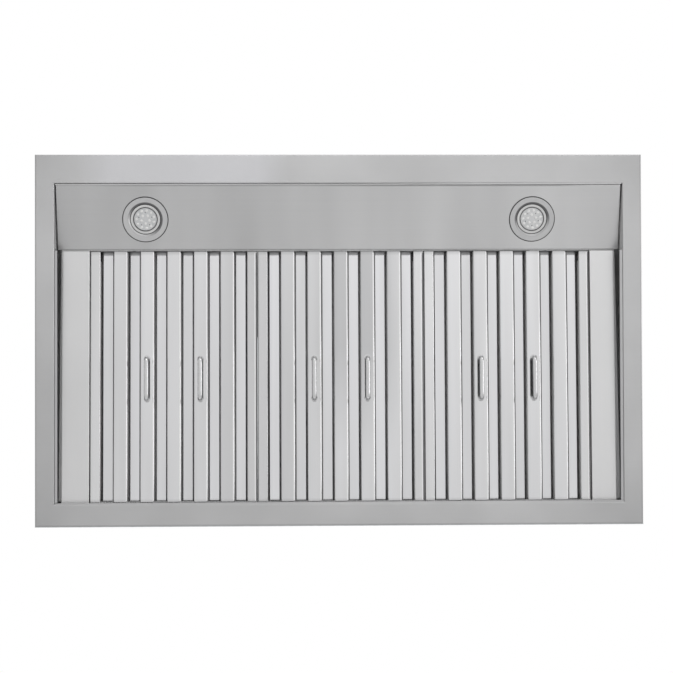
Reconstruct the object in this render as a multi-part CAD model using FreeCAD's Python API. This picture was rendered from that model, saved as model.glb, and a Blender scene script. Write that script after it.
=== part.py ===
import FreeCAD, Part
import math
import os

from FreeCAD import Placement, Rotation, Vector

# A wall mount range hood, in millimetres. The wall is the plane y = 0 and the front faces -Y.
# z = 0 is the underside of the rim, and x = 0 is the middle of the hood.

# Hood body
HOOD_WIDTH = 914.4
HOOD_DEPTH = 558.8
LIP_HEIGHT = 60.0
CANOPY_HEIGHT = 300.0
SHEET = 1.0
RIM_FRONT = 43.5
RIM_REAR = 34.0
RIM_SIDE = 29.0
SIDE_WALL_HEIGHT = 28.0
FRONT_WALL_HEIGHT = 10.0
LEDGE_HEIGHT = 14.3
RIM_EDGE_RADIUS = 1.8
BEND = 1.0
SEAT_CLEARANCE = 0.3

# Wall fixing
WALL_SCREW_SPACING_X = 400.0
WALL_SCREW_SPACING_Z = 150.0
WALL_SCREW_LOWER_Z = 80.0
WALL_SCREW_HOLE_RADIUS = 4.0

# Light panel
PANEL_RUN = 98.5
PANEL_FRONT_Z = 1.6
PANEL_REAR_Z = 27.3
PANEL_FRONT_GAP = 0.6
PANEL_SIDE_GAP = 2.4
PANEL_FRONT_FLANGE = 9.0
PANEL_REAR_FLANGE = 18.0

# Lamps
LAMP_SIDE_INSET = 164.2
LAMP_FROM_FRONT = 52.3
BEZEL_RADIUS = 33.6
BEZEL_LIP = 1.8
BEZEL_EDGE_RADIUS = 0.8
BEZEL_MOUTH_RADIUS = 25.6
BEZEL_THROAT_RADIUS = 22.4
BEZEL_WALL = 1.4
LAMP_RECESS = 1.0
BEZEL_SLEEVE_HEIGHT = 20.0
LAMP_CLEARANCE = 0.3
LAMP_SHOULDER = 2.0
LAMP_BODY_HEIGHT = 44.0
LAMP_TAIL_RADIUS = 12.0
LAMP_TAIL_HEIGHT = 10.0
LENS_RADIUS = 18.5
LENS_THICKNESS = 2.5
CLIP_WIDTH = 10.0
CLIP_REACH = 14.0
CLIP_RISE = 9.0
CLIP_THICKNESS = 0.6

# Baffle filters
FILTER_SHEET = 0.8
FILTER_BEND = 1.0
FILTER_THICKNESS = 28.0
FILTER_GAP = 1.2
FILTER_SHIFT = 2.0
FILTER_FRONT_GAP = 1.6
FILTER_REAR_OVERLAP = 12.0
FILTER_TOP_FLANGE = 8.0
FILTER_END_LOWER_FLANGE = 15.0
FILTER_END_UPPER_FLANGE = 10.0
RAIL_FACE = 15.0
LOWER_FACE = 20.4
LOWER_FLANGE = 14.5
UPPER_HEIGHT = 18.0
UPPER_SIDE_GAP = 1.9
UPPER_SPLAY = 4.4
UPPER_BRIM = 2.5
LOWER_COUNT = 5

# Filter handles
HANDLE_LENGTH = 68.0
HANDLE_FORWARD = 2.9
HANDLE_STANDOFF = 16.2
HANDLE_WIRE_RADIUS = 3.4
HANDLE_BEND_RADIUS = 7.0
HANDLE_FOOT_RADIUS = 5.0
HANDLE_FOOT_HEIGHT = 1.0
HANDLE_STRIPS = (1, 3)

# Spring catches that hold the filters' front edges
CATCH_TIP_RADIUS = 2.4
CATCH_BARREL_RADIUS = 4.0
CATCH_BARREL_LENGTH = 11.0
CATCH_BITE = 1.4
CATCH_HEIGHT = 8.5
CATCH_CLEARANCE = 0.4
CATCH_STRIPS = (1, 4)

# Side fillers and grease tray
FILLER_SIDE_GAP = 7.3
FILLER_WIDTH = 40.95
FILLER_FLANGE = 15.0
TRAY_SHEET = 0.8
TRAY_GAP = 0.5
TRAY_FRONT_HEIGHT = 8.0
TRAY_REAR_HEIGHT = 16.0
TRAY_END_GAP = 6.0

# Blower
WHEEL_RADIUS = 75.0
WHEEL_INNER_RADIUS = 61.0
WHEEL_HALF_LENGTH = 69.0
WHEEL_RING = 2.0
BLADE_COUNT = 28
BLADE_THICKNESS = 0.8
BLADE_LEAN = 7.0
HUB_RADIUS = 10.0
HUB_HALF_LENGTH = 9.0
SHAFT_RADIUS = 4.0
SHAFT_CLEARANCE = 0.05
SCROLL_START_RADIUS = 92.0
SCROLL_STEP = 20.5
SCROLL_SHIFT_Y = 5.0
SCROLL_SHIFT_Z = -3.0
SCROLL_HALF_WIDTH = 77.0
SCROLL_DROP = 128.0
BLOWER_Y = -105.0
INLET_RADIUS = 63.0
OUTLET_FLANGE = 14.0
MOTOR_RADIUS = 42.0
MOTOR_INNER_X = 14.0
MOTOR_OUTER_X = 112.0
MOTOR_FLANGE_RADIUS = 50.0
MOTOR_FLANGE = 3.0
MOTOR_CLEARANCE = 0.3
MOTOR_EDGE_RADIUS = 2.0
BRACKET_SHEET = 2.0
BRACKET_ARM_WIDTH = 14.0
BRACKET_ARM_REACH = 82.0
BRACKET_ARM_COUNT = 3

# Duct collar and damper
COLLAR_RADIUS = 76.2
COLLAR_HEIGHT = 50.0
COLLAR_FLANGE = 8.0
ROD_RADIUS = 2.0
ROD_HEIGHT = 18.0
ROD_CLEARANCE = 0.15
FLAP_SHEET = 0.8
FLAP_EDGE_GAP = 1.2
KNUCKLE_WALL = 1.2
KNUCKLE_LENGTH = 12.0
KNUCKLE_GAP = 0.5
KNUCKLE_PITCH = 24.0
STOP_WIDTH = 10.0
STOP_REACH = 4.0

# Chimney
CHIMNEY_WIDTH = 330.0
CHIMNEY_DEPTH = 290.0
CHIMNEY_LOWER_HEIGHT = 400.0
CHIMNEY_UPPER_HEIGHT = 420.0
CHIMNEY_CLEARANCE = 0.6
CHIMNEY_FLANGE = 14.0
FOOT_SHEET = 2.0
FOOT_HEIGHT = 22.0
FOOT_REACH = 20.0
FOOT_LENGTH = 40.0
WALL_BRACKET_HEIGHT = 30.0
WALL_BRACKET_SHEET = 1.5
WALL_BRACKET_EAR = 34.0
WALL_BRACKET_DROP = 6.0
WALL_BRACKET_SCREW_SPACING = 200.0
WALL_BRACKET_HOLE_RADIUS = 3.0

# Controls
BUTTON_NAMES = ("power", "low", "medium", "high", "light")
BUTTON_PITCH = 30.0
BUTTON_Z = 30.0
BUTTON_RADIUS = 8.0
BUTTON_PROUD = 2.4
BUTTON_EDGE_RADIUS = 0.6
BUTTON_CLEARANCE = 0.3
BUTTON_COLLAR_RADIUS = 9.6
BUTTON_COLLAR_DEPTH = 1.5
BUTTON_STEM_RADIUS = 3.0
BUTTON_STEM_BITE = 4.0
BUTTON_TRAVEL = 2.0
SWITCH_BOX_LENGTH = 166.0
SWITCH_BOX_DEPTH = 24.0
SWITCH_BOX_HEIGHT = 44.0
SWITCH_BOX_GAP = 10.0

# Electrics
BOX_SIDE_INSET = 111.2
BOX_WIDTH = 110.0
BOX_BASE_Z = 66.0
BOX_HEIGHT = 66.0
BOX_DEPTH = 44.0
BOX_WALL = 1.2
BOX_LEAD_RADIUS = 5.0
CAPACITOR_RADIUS = 13.0
CAPACITOR_LENGTH = 62.0
DRIVER_LENGTH = 70.0
DRIVER_HEIGHT = 22.0
DRIVER_DEPTH = 26.0
GLAND_X = 112.0
GLAND_Y = -58.0
GLAND_BORE_RADIUS = 4.5
GLAND_BODY_RADIUS = 9.0
GLAND_FLANGE_RADIUS = 13.0
GLAND_FLANGE = 5.0
GLAND_DEPTH = 10.0
GLAND_NUT = 4.0
GLAND_CLEARANCE = 0.1

# Screws
SCREW_RADIUS = 2.0
SCREW_HEAD_RADIUS = 3.8
SCREW_HEAD = 2.2
SCREW_LENGTH = 8.0
SCREW_CLEARANCE = 0.1

# Values that follow from the sizes above
HALF_WIDTH = HOOD_WIDTH / 2
OPENING_HALF = HALF_WIDTH - RIM_SIDE
OPENING_FRONT = -HOOD_DEPTH + RIM_FRONT
OPENING_REAR = -RIM_REAR
PANEL_FRONT_Y = OPENING_FRONT + PANEL_FRONT_GAP
PANEL_REAR_Y = OPENING_FRONT + PANEL_RUN
PANEL_HALF = OPENING_HALF - PANEL_SIDE_GAP
PANEL_ANGLE = math.atan2(PANEL_REAR_Z - PANEL_FRONT_Z, PANEL_REAR_Y - PANEL_FRONT_Y)
SIDES = {"left": -1, "right": 1}
FILTER_PLACES = {"left": -1, "centre": 0, "right": 1}
FILLER_OUTER = OPENING_HALF - FILLER_SIDE_GAP
FILLER_INNER = FILLER_OUTER - FILLER_WIDTH
FILTER_PITCH = (2 * FILLER_INNER - FILTER_GAP) / len(FILTER_PLACES)
FILTER_WIDTH = FILTER_PITCH - FILTER_GAP
UPPER_COUNT = LOWER_COUNT + 1
BAFFLE_OPENING = (FILTER_WIDTH - 2 * RAIL_FACE - LOWER_COUNT * LOWER_FACE) / UPPER_COUNT
BAFFLE_PITCH = LOWER_FACE + BAFFLE_OPENING
PIVOT_Y = OPENING_REAR
PIVOT_Z = LEDGE_HEIGHT + SEAT_CLEARANCE
BAY_RUN = PIVOT_Y - PANEL_REAR_Y - FILTER_FRONT_GAP
FILTER_TILT = math.atan2(PANEL_REAR_Z - PIVOT_Z, BAY_RUN)
FILTER_FORWARD = BAY_RUN / math.cos(FILTER_TILT)
UPPER_FACE = BAFFLE_OPENING - 2 * UPPER_SIDE_GAP
ROOF_TOP = CANOPY_HEIGHT + SHEET
BLOWER_Z = CANOPY_HEIGHT - SCROLL_DROP
LAMP_X = HALF_WIDTH - LAMP_SIDE_INSET
BOX_RIGHT_X = HALF_WIDTH - BOX_SIDE_INSET
BOX_LEFT_X = BOX_RIGHT_X - BOX_WIDTH


def box(x0, x1, y0, y1, z0, z1):
    """A block between two corners, given in any order."""
    low = Vector(min(x0, x1), min(y0, y1), min(z0, z1))
    return Part.makeBox(abs(x1 - x0), abs(y1 - y0), abs(z1 - z0), low)


def cylinder(radius, start, end):
    """A round bar between two points."""
    axis = end - start
    return Part.makeCylinder(radius, axis.Length, start, axis)


def flat_face(corners):
    """A flat face through corner points."""
    return Part.Face(Part.makePolygon(corners + [corners[0]]))


def along_x(face, x0, x1):
    """Extrude a face drawn in (y, z) from x0 to x1."""
    solid = face.extrude(Vector(0, 0, x1 - x0))
    solid.Placement = Placement(Vector(x0, 0, 0), Rotation(Vector(1, 1, 1), 120))
    return solid


def along_y(face, y_rear, y_front):
    """Extrude a face drawn in (x, z) from its rear end to its front end."""
    solid = face.extrude(Vector(0, 0, y_rear - y_front))
    solid.Placement = Placement(Vector(0, y_rear, 0), Rotation(Vector(1, 0, 0), 90))
    return solid


def along_z(face, z0, z1):
    """Extrude a face drawn in (x, y) from z0 to z1."""
    solid = face.extrude(Vector(0, 0, z1 - z0))
    solid.translate(Vector(0, 0, z0))
    return solid


def rounded_run(points, radii):
    """Edges along 2-D points, with each inner corner rounded to its radius."""
    edges = []
    start = points[0]
    for before, corner, after, radius in zip(points, points[1:], points[2:], radii):
        back = (before - corner).normalize()
        ahead = (after - corner).normalize()
        half = back.getAngle(ahead) / 2
        middle = (back + ahead).normalize()
        reach = radius / math.tan(half)
        touch = corner + back * reach
        leave = corner + ahead * reach
        crown = corner + middle * (radius / math.sin(half) - radius)
        edges.append(Part.LineSegment(start, touch).toShape())
        edges.append(Part.Arc(touch, crown, leave).toShape())
        start = leave
    edges.append(Part.LineSegment(start, points[-1]).toShape())
    return edges


def folded_sheet(points, thickness, bend):
    """Face of a bent sheet. The points run along one side, and the sheet lies to their left."""
    run = [Vector(a, b, 0) for a, b in points]
    steps = [(after - before).normalize() for before, after in zip(run, run[1:])]
    normals = [Vector(-step.y, step.x, 0) for step in steps]
    other = [run[0] + normals[0] * thickness]
    near_radii = []
    far_radii = []
    for index in range(1, len(run) - 1):
        first = normals[index - 1]
        second = normals[index]
        shift = (first + second) * (thickness / (1 + first.dot(second)))
        other.append(run[index] + shift)
        turns_left = steps[index - 1].cross(steps[index]).z > 0
        near_radii.append(bend + thickness if turns_left else bend)
        far_radii.append(bend if turns_left else bend + thickness)
    other.append(run[-1] + normals[-1] * thickness)
    edges = rounded_run(run, near_radii)
    edges.append(Part.LineSegment(run[-1], other[-1]).toShape())
    edges.extend(rounded_run(other[::-1], far_radii[::-1]))
    edges.append(Part.LineSegment(other[0], run[0]).toShape())
    return Part.Face(Part.Wire(edges))


def turned(points):
    """A solid of revolution about the Z axis, from (radius, height) points."""
    face = flat_face([Vector(radius, 0, height) for radius, height in points])
    return face.revolve(Vector(0, 0, 0), Vector(0, 0, 1), 360)


def mirrored(shape):
    """The same shape on the other side of the hood."""
    return shape.mirror(Vector(0, 0, 0), Vector(1, 0, 0))


def edges_where(shape, test):
    """The straight edges whose two ends both pass a test."""
    found = []
    for edge in shape.Edges:
        ends = [vertex.Point for vertex in edge.Vertexes]
        if len(ends) == 2 and test(ends[0], ends[1]):
            found.append(edge)
    return found


def near(a, b):
    """Whether two lengths are the same."""
    return abs(a - b) < 0.001


def screw(head_seat, direction):
    """A pan-head screw whose head bears at a point and whose shank runs along a direction."""
    along = Vector(direction).normalize()
    head = cylinder(SCREW_HEAD_RADIUS, head_seat, head_seat - along * SCREW_HEAD)
    shank = cylinder(SCREW_RADIUS, head_seat, head_seat + along * SCREW_LENGTH)
    return head.fuse(shank).removeSplitter()


def screw_hole(head_seat, direction):
    """The clearance hole for a screw, through what lies on both sides of its seat."""
    along = Vector(direction).normalize() * (SCREW_LENGTH + SCREW_CLEARANCE)
    return cylinder(SCREW_RADIUS + SCREW_CLEARANCE, head_seat - along, head_seat + along)


# Body of the hood

def make_base_frame():
    """The lip, the rim under it and the walls that turn up round the opening: one folded sheet."""
    outer = box(-HALF_WIDTH, HALF_WIDTH, -HOOD_DEPTH, -SHEET, 0, LIP_HEIGHT)
    inside = HALF_WIDTH - SHEET
    room = box(-inside, inside, -HOOD_DEPTH + SHEET, -SHEET, SHEET, LIP_HEIGHT)
    wide = OPENING_HALF + SHEET
    walls = [
        box(OPENING_HALF, wide, OPENING_FRONT, OPENING_REAR, 0, SIDE_WALL_HEIGHT),
        box(-wide, -OPENING_HALF, OPENING_FRONT, OPENING_REAR, 0, SIDE_WALL_HEIGHT),
        box(-wide, wide, OPENING_FRONT - SHEET, OPENING_FRONT, 0, FRONT_WALL_HEIGHT),
        box(-wide, wide, OPENING_REAR, OPENING_REAR + SHEET, 0, LEDGE_HEIGHT),
    ]
    opening = box(-OPENING_HALF, OPENING_HALF, OPENING_FRONT, OPENING_REAR, 0, SHEET)
    frame = outer.cut(room).fuse(walls).removeSplitter().cut(opening)

    def outer_edge(a, b):
        low = near(a.z, 0) and near(b.z, 0)
        at_side = near(abs(a.x), HALF_WIDTH) and near(a.x, b.x)
        at_front = near(a.y, -HOOD_DEPTH) and near(b.y, -HOOD_DEPTH)
        return low and (at_side or at_front)

    frame = frame.makeFillet(RIM_EDGE_RADIUS, edges_where(frame, outer_edge))
    cuts = opening_rounding()
    for place in button_places():
        lip = Vector(place.x, -HOOD_DEPTH, place.z)
        cuts.append(cylinder(BUTTON_RADIUS + BUTTON_CLEARANCE, lip, lip + Vector(0, SHEET, 0)))
    return frame.cut(cuts)


def quarter_round(edge, way):
    """Face of what rounding takes off a lower edge. The sheet goes the given way from the edge."""
    inset = RIM_EDGE_RADIUS * (1 - math.sqrt(0.5))
    corner = Vector(edge, 0, 0)
    foot = Vector(edge + way * RIM_EDGE_RADIUS, 0, 0)
    crown = Vector(edge + way * inset, inset, 0)
    head = Vector(edge, RIM_EDGE_RADIUS, 0)
    edges = [
        Part.LineSegment(corner, foot).toShape(),
        Part.Arc(foot, crown, head).toShape(),
        Part.LineSegment(head, corner).toShape(),
    ]
    return Part.Face(Part.Wire(edges))


def opening_rounding():
    """What the rounded edges of the opening take off: four runs, mitred at the corners."""
    wide = OPENING_HALF + RIM_EDGE_RADIUS
    front = OPENING_FRONT - RIM_EDGE_RADIUS
    rear = OPENING_REAR + RIM_EDGE_RADIUS

    def mitred(run, corners):
        plan = flat_face([Vector(x, y, 0) for x, y in corners])
        return run.common(along_z(plan, 0, RIM_EDGE_RADIUS))

    front_run = mitred(
        along_x(quarter_round(OPENING_FRONT, -1), -wide, wide),
        [(-OPENING_HALF, OPENING_FRONT), (OPENING_HALF, OPENING_FRONT), (wide, front), (-wide, front)],
    )
    rear_run = mitred(
        along_x(quarter_round(OPENING_REAR, 1), -wide, wide),
        [(-OPENING_HALF, OPENING_REAR), (OPENING_HALF, OPENING_REAR), (wide, rear), (-wide, rear)],
    )
    side_run = mitred(
        along_y(quarter_round(OPENING_HALF, 1), rear, front),
        [(OPENING_HALF, OPENING_FRONT), (OPENING_HALF, OPENING_REAR), (wide, rear), (wide, front)],
    )
    return [front_run, rear_run, side_run, mirrored(side_run)]


def canopy_corners():
    """The canopy's outer and inner corners, on the right-hand side, as (low, high) pairs."""
    rise = CANOPY_HEIGHT - LIP_HEIGHT
    roof_half = CHIMNEY_WIDTH / 2
    front_inset = SHEET / math.sin(math.atan2(rise, HOOD_DEPTH - CHIMNEY_DEPTH))
    side_inset = SHEET / math.sin(math.atan2(rise, HALF_WIDTH - roof_half))
    outer = ((HALF_WIDTH, -HOOD_DEPTH), (roof_half, -CHIMNEY_DEPTH))
    inner = (
        (HALF_WIDTH - side_inset, -HOOD_DEPTH + front_inset),
        (roof_half - side_inset, -CHIMNEY_DEPTH + front_inset),
    )
    return outer, inner


def plate_between(outer, inner):
    """A flat-sided solid between an outer and an inner four-cornered face."""
    faces = [flat_face(outer), flat_face(inner)]
    for index in range(len(outer)):
        after = (index + 1) % len(outer)
        faces.append(flat_face([outer[index], outer[after], inner[after], inner[index]]))
    solid = Part.Solid(Part.Shell(faces))
    if solid.Volume < 0:
        solid.reverse()
    return solid


def make_canopy_front():
    """The sloped front of the canopy, mitred at both sides."""
    faces = []
    for (low_x, low_y), (high_x, high_y) in canopy_corners():
        faces.append([
            Vector(-low_x, low_y, LIP_HEIGHT),
            Vector(low_x, low_y, LIP_HEIGHT),
            Vector(high_x, high_y, CANOPY_HEIGHT),
            Vector(-high_x, high_y, CANOPY_HEIGHT),
        ])
    return plate_between(faces[0], faces[1])


def make_canopy_side():
    """The sloped right side of the canopy, mitred at its front edge."""
    faces = []
    for (low_x, low_y), (high_x, high_y) in canopy_corners():
        faces.append([
            Vector(low_x, low_y, LIP_HEIGHT),
            Vector(low_x, -SHEET, LIP_HEIGHT),
            Vector(high_x, -SHEET, CANOPY_HEIGHT),
            Vector(high_x, high_y, CANOPY_HEIGHT),
        ])
    return plate_between(faces[0], faces[1])


def make_back_panel():
    """The sheet that closes the back and carries the four wall screws."""
    roof_half = CHIMNEY_WIDTH / 2
    outline = [
        (-HALF_WIDTH, 0),
        (HALF_WIDTH, 0),
        (HALF_WIDTH, LIP_HEIGHT),
        (roof_half, CANOPY_HEIGHT),
        (-roof_half, CANOPY_HEIGHT),
        (-HALF_WIDTH, LIP_HEIGHT),
    ]
    panel = along_y(flat_face([Vector(x, z, 0) for x, z in outline]), 0, -SHEET)
    for x in (-WALL_SCREW_SPACING_X / 2, WALL_SCREW_SPACING_X / 2):
        for z in (WALL_SCREW_LOWER_Z, WALL_SCREW_LOWER_Z + WALL_SCREW_SPACING_Z):
            start = Vector(x, -SHEET, z)
            panel = panel.cut(cylinder(WALL_SCREW_HOLE_RADIUS, start, Vector(x, 0, z)))
    return panel


def make_roof_plate():
    """The plate on top of the canopy that carries the blower, the collar and the chimney."""
    half = CHIMNEY_WIDTH / 2
    plate = box(-half, half, -CHIMNEY_DEPTH, 0, CANOPY_HEIGHT, ROOF_TOP)
    centre = Vector(0, collar_y(), CANOPY_HEIGHT)
    up = Vector(0, 0, SHEET)
    holes = [cylinder(COLLAR_RADIUS - SHEET, centre, centre + up)]
    gland = Vector(GLAND_X, GLAND_Y, CANOPY_HEIGHT)
    holes.append(cylinder(GLAND_BODY_RADIUS + GLAND_CLEARANCE, gland, gland + up))
    for place in collar_screw_places():
        holes.append(screw_hole(place, Vector(0, 0, -1)))
    return plate.cut(holes)


def make_light_panel():
    """The slanted panel along the front, with a flange up at each long edge and two lamp holes."""
    points = [
        (PANEL_FRONT_Y, PANEL_FRONT_Z + PANEL_FRONT_FLANGE),
        (PANEL_FRONT_Y, PANEL_FRONT_Z),
        (PANEL_REAR_Y, PANEL_REAR_Z),
        (PANEL_REAR_Y, PANEL_REAR_Z + PANEL_REAR_FLANGE),
    ]
    panel = along_x(folded_sheet(points, SHEET, BEND), -PANEL_HALF, PANEL_HALF)
    hole = Part.makeCylinder(sleeve_radius() + LAMP_CLEARANCE, 2 * SHEET, Vector(0, 0, -SHEET / 2))
    holes = [on_panel(hole, side) for side in SIDES.values()]
    for point in catch_places():
        start = Vector(point.x, PANEL_REAR_Y - SHEET, point.z)
        end = Vector(point.x, PANEL_REAR_Y, point.z)
        holes.append(cylinder(CATCH_TIP_RADIUS + CATCH_CLEARANCE, start, end))
    return panel.cut(holes)


def bay_placed(shape, x=0):
    """Move a shape from the filter bay's own frame to its place over the rear ledge."""
    turn = Rotation(Vector(1, 0, 0), -math.degrees(FILTER_TILT))
    shape.Placement = Placement(Vector(x, PIVOT_Y, PIVOT_Z), turn).multiply(shape.Placement)
    return shape


def filter_x(step):
    """Middle of a filter: the row of three sits a little to the right."""
    return FILTER_SHIFT + step * FILTER_PITCH


def make_side_filler(side):
    """The plain trough between an outer filter and the rim, drawn on the right."""
    inner = FILLER_INNER + side * FILTER_SHIFT
    points = [
        (inner, FILLER_FLANGE),
        (inner, 0),
        (FILLER_OUTER, 0),
        (FILLER_OUTER, FILLER_FLANGE),
    ]
    filler = along_y(folded_sheet(points, SHEET, BEND), FILTER_REAR_OVERLAP, -FILTER_FORWARD)
    return bay_placed(filler)


def make_grease_tray():
    """The tray behind the rear ledge that the filters drain into."""
    front = OPENING_REAR + SHEET + TRAY_GAP
    rear = -SHEET - TRAY_GAP
    points = [
        (front, SHEET + TRAY_FRONT_HEIGHT),
        (front, SHEET),
        (rear, SHEET),
        (rear, SHEET + TRAY_REAR_HEIGHT),
    ]
    half = OPENING_HALF - TRAY_END_GAP
    return along_x(folded_sheet(points, TRAY_SHEET, BEND), -half, half)


# Lamps

def on_panel(shape, side):
    """Move a lamp piece from its own frame, with the panel's face at z = 0, to the panel."""
    y = PANEL_FRONT_Y + LAMP_FROM_FRONT
    z = PANEL_FRONT_Z + LAMP_FROM_FRONT * math.tan(PANEL_ANGLE)
    turn = Rotation(Vector(1, 0, 0), math.degrees(PANEL_ANGLE))
    placed = shape.copy()
    place = Placement(Vector(side * LAMP_X, y, z), turn)
    placed.Placement = place.multiply(placed.Placement)
    return placed


def sleeve_radius():
    """Outer radius of the lamp bezel's sleeve, where it passes through the panel."""
    return BEZEL_MOUTH_RADIUS + BEZEL_WALL


def make_lamp_bezel():
    """The flat ring under the panel and the tapered sleeve that the lamp stands in."""
    points = [
        (BEZEL_MOUTH_RADIUS, -BEZEL_LIP),
        (BEZEL_RADIUS, -BEZEL_LIP),
        (BEZEL_RADIUS, 0),
        (sleeve_radius(), 0),
        (sleeve_radius(), BEZEL_SLEEVE_HEIGHT),
        (BEZEL_THROAT_RADIUS, BEZEL_SLEEVE_HEIGHT),
        (BEZEL_THROAT_RADIUS, LAMP_RECESS),
    ]
    bezel = turned(points)
    rims = [edge for edge in bezel.Edges if near(edge.BoundBox.ZMax, -BEZEL_LIP)]
    return bezel.makeFillet(BEZEL_EDGE_RADIUS, rims)


def make_lamp_body():
    """The lamp: a front ring round the lens seat, a shoulder on the sleeve and a tapered tail."""
    front = BEZEL_THROAT_RADIUS - LAMP_CLEARANCE
    seat = LAMP_RECESS + LENS_THICKNESS
    shoulder = BEZEL_SLEEVE_HEIGHT + LAMP_SHOULDER
    tail = LAMP_RECESS + LAMP_BODY_HEIGHT
    points = [
        (0, seat),
        (LENS_RADIUS + LAMP_CLEARANCE, seat),
        (LENS_RADIUS + LAMP_CLEARANCE, LAMP_RECESS),
        (front, LAMP_RECESS),
        (front, BEZEL_SLEEVE_HEIGHT),
        (sleeve_radius(), BEZEL_SLEEVE_HEIGHT),
        (sleeve_radius(), shoulder),
        (front, shoulder),
        (LAMP_TAIL_RADIUS, tail - LAMP_TAIL_HEIGHT),
        (LAMP_TAIL_RADIUS, tail),
        (0, tail),
    ]
    return turned(points)


def make_lamp_lens():
    """The lens disc, seated in the front of the lamp."""
    return Part.makeCylinder(LENS_RADIUS, LENS_THICKNESS, Vector(0, 0, LAMP_RECESS))


def make_lamp_clips():
    """Two leaf springs that press on the panel from above and hold one lamp up."""
    points = [
        (sleeve_radius(), SHEET + CLIP_RISE),
        (sleeve_radius(), SHEET),
        (sleeve_radius() + CLIP_REACH, SHEET),
    ]
    face = folded_sheet(points, CLIP_THICKNESS, BEND)
    clip = along_y(face, CLIP_WIDTH / 2, -CLIP_WIDTH / 2)
    hold = cylinder(sleeve_radius(), Vector(0, 0, 0), Vector(0, 0, BEZEL_SLEEVE_HEIGHT))
    clip = clip.cut(hold)
    return [clip, mirrored(clip)]


# Baffle filters, drawn in the bay's own frame: y = 0 is the ledge, -Y the front, z = 0 the face

def lower_centre(index):
    """Middle of a lower baffle, from the filter's middle."""
    return -FILTER_WIDTH / 2 + RAIL_FACE + BAFFLE_OPENING + LOWER_FACE / 2 + index * BAFFLE_PITCH


def upper_centre(index):
    """Middle of an upper baffle, from the filter's middle."""
    return -FILTER_WIDTH / 2 + RAIL_FACE + BAFFLE_OPENING / 2 + index * BAFFLE_PITCH


def end_zones():
    """The room that the two end members take between the rails, above the lower faces."""
    half = FILTER_WIDTH / 2 - FILTER_SHEET
    reach = FILTER_END_LOWER_FLANGE + SEAT_CLEARANCE
    rear = box(-half, half, FILTER_REAR_OVERLAP - reach, FILTER_REAR_OVERLAP, FILTER_SHEET,
               FILTER_THICKNESS)
    front = box(-half, half, -FILTER_FORWARD, -FILTER_FORWARD + reach, FILTER_SHEET,
                FILTER_THICKNESS)
    return [rear, front]


def make_filter_frame():
    """Two side rails and two end members."""
    side = FILTER_WIDTH / 2
    inner = side - RAIL_FACE
    points = [
        (inner, LOWER_FLANGE),
        (inner, 0),
        (side, 0),
        (side, FILTER_THICKNESS),
        (side - FILTER_TOP_FLANGE, FILTER_THICKNESS),
    ]
    face = folded_sheet(points, FILTER_SHEET, FILTER_BEND)
    rail = along_y(face, FILTER_REAR_OVERLAP, -FILTER_FORWARD).cut(end_zones())
    half = side - FILTER_SHEET - FILTER_BEND
    top = FILTER_THICKNESS
    rear_points = [
        (FILTER_REAR_OVERLAP - FILTER_END_LOWER_FLANGE, FILTER_SHEET),
        (FILTER_REAR_OVERLAP, FILTER_SHEET),
        (FILTER_REAR_OVERLAP, top),
        (FILTER_REAR_OVERLAP - FILTER_END_UPPER_FLANGE, top),
    ]
    rear = along_x(folded_sheet(rear_points, FILTER_SHEET, FILTER_BEND), -half, half)
    front_points = [
        (-FILTER_FORWARD + FILTER_END_UPPER_FLANGE, top),
        (-FILTER_FORWARD, top),
        (-FILTER_FORWARD, FILTER_SHEET),
    ]
    front = along_x(folded_sheet(front_points, FILTER_SHEET, FILTER_BEND), -half, half)
    for index in CATCH_STRIPS:
        start = Vector(upper_centre(index), -FILTER_FORWARD - FILTER_SHEET, CATCH_HEIGHT)
        end = start + Vector(0, 3 * FILTER_SHEET, 0)
        front = front.cut(cylinder(CATCH_TIP_RADIUS + CATCH_CLEARANCE, start, end))
    return [rail, mirrored(rail), rear, front]


def make_lower_baffles():
    """The row of channels that faces down, open upwards."""
    rear_zone = end_zones()[0]
    channels = []
    for index in range(LOWER_COUNT):
        low = lower_centre(index) - LOWER_FACE / 2
        high = low + LOWER_FACE
        points = [(low, LOWER_FLANGE), (low, 0), (high, 0), (high, LOWER_FLANGE)]
        face = folded_sheet(points, FILTER_SHEET, FILTER_BEND)
        channel = along_y(face, FILTER_REAR_OVERLAP - FILTER_SHEET, -FILTER_FORWARD + FILTER_SHEET)
        channels.append(channel.cut(rear_zone))
    return channels


def make_upper_baffles():
    """The row of troughs above, whose sides splay out over the flanges of the lower row."""
    brim = FILTER_THICKNESS - 2 * FILTER_SHEET
    channels = []
    for index in range(UPPER_COUNT):
        low = upper_centre(index) - UPPER_FACE / 2
        high = low + UPPER_FACE
        points = [
            (low - UPPER_SPLAY - UPPER_BRIM, brim),
            (low - UPPER_SPLAY, brim),
            (low, UPPER_HEIGHT),
            (high, UPPER_HEIGHT),
            (high + UPPER_SPLAY, brim),
            (high + UPPER_SPLAY + UPPER_BRIM, brim),
        ]
        face = folded_sheet(points, FILTER_SHEET, FILTER_BEND)
        inset = FILTER_SHEET + FILTER_BEND + SEAT_CLEARANCE
        channels.append(along_y(face, FILTER_REAR_OVERLAP - inset, -FILTER_FORWARD + inset))
    return channels


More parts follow.
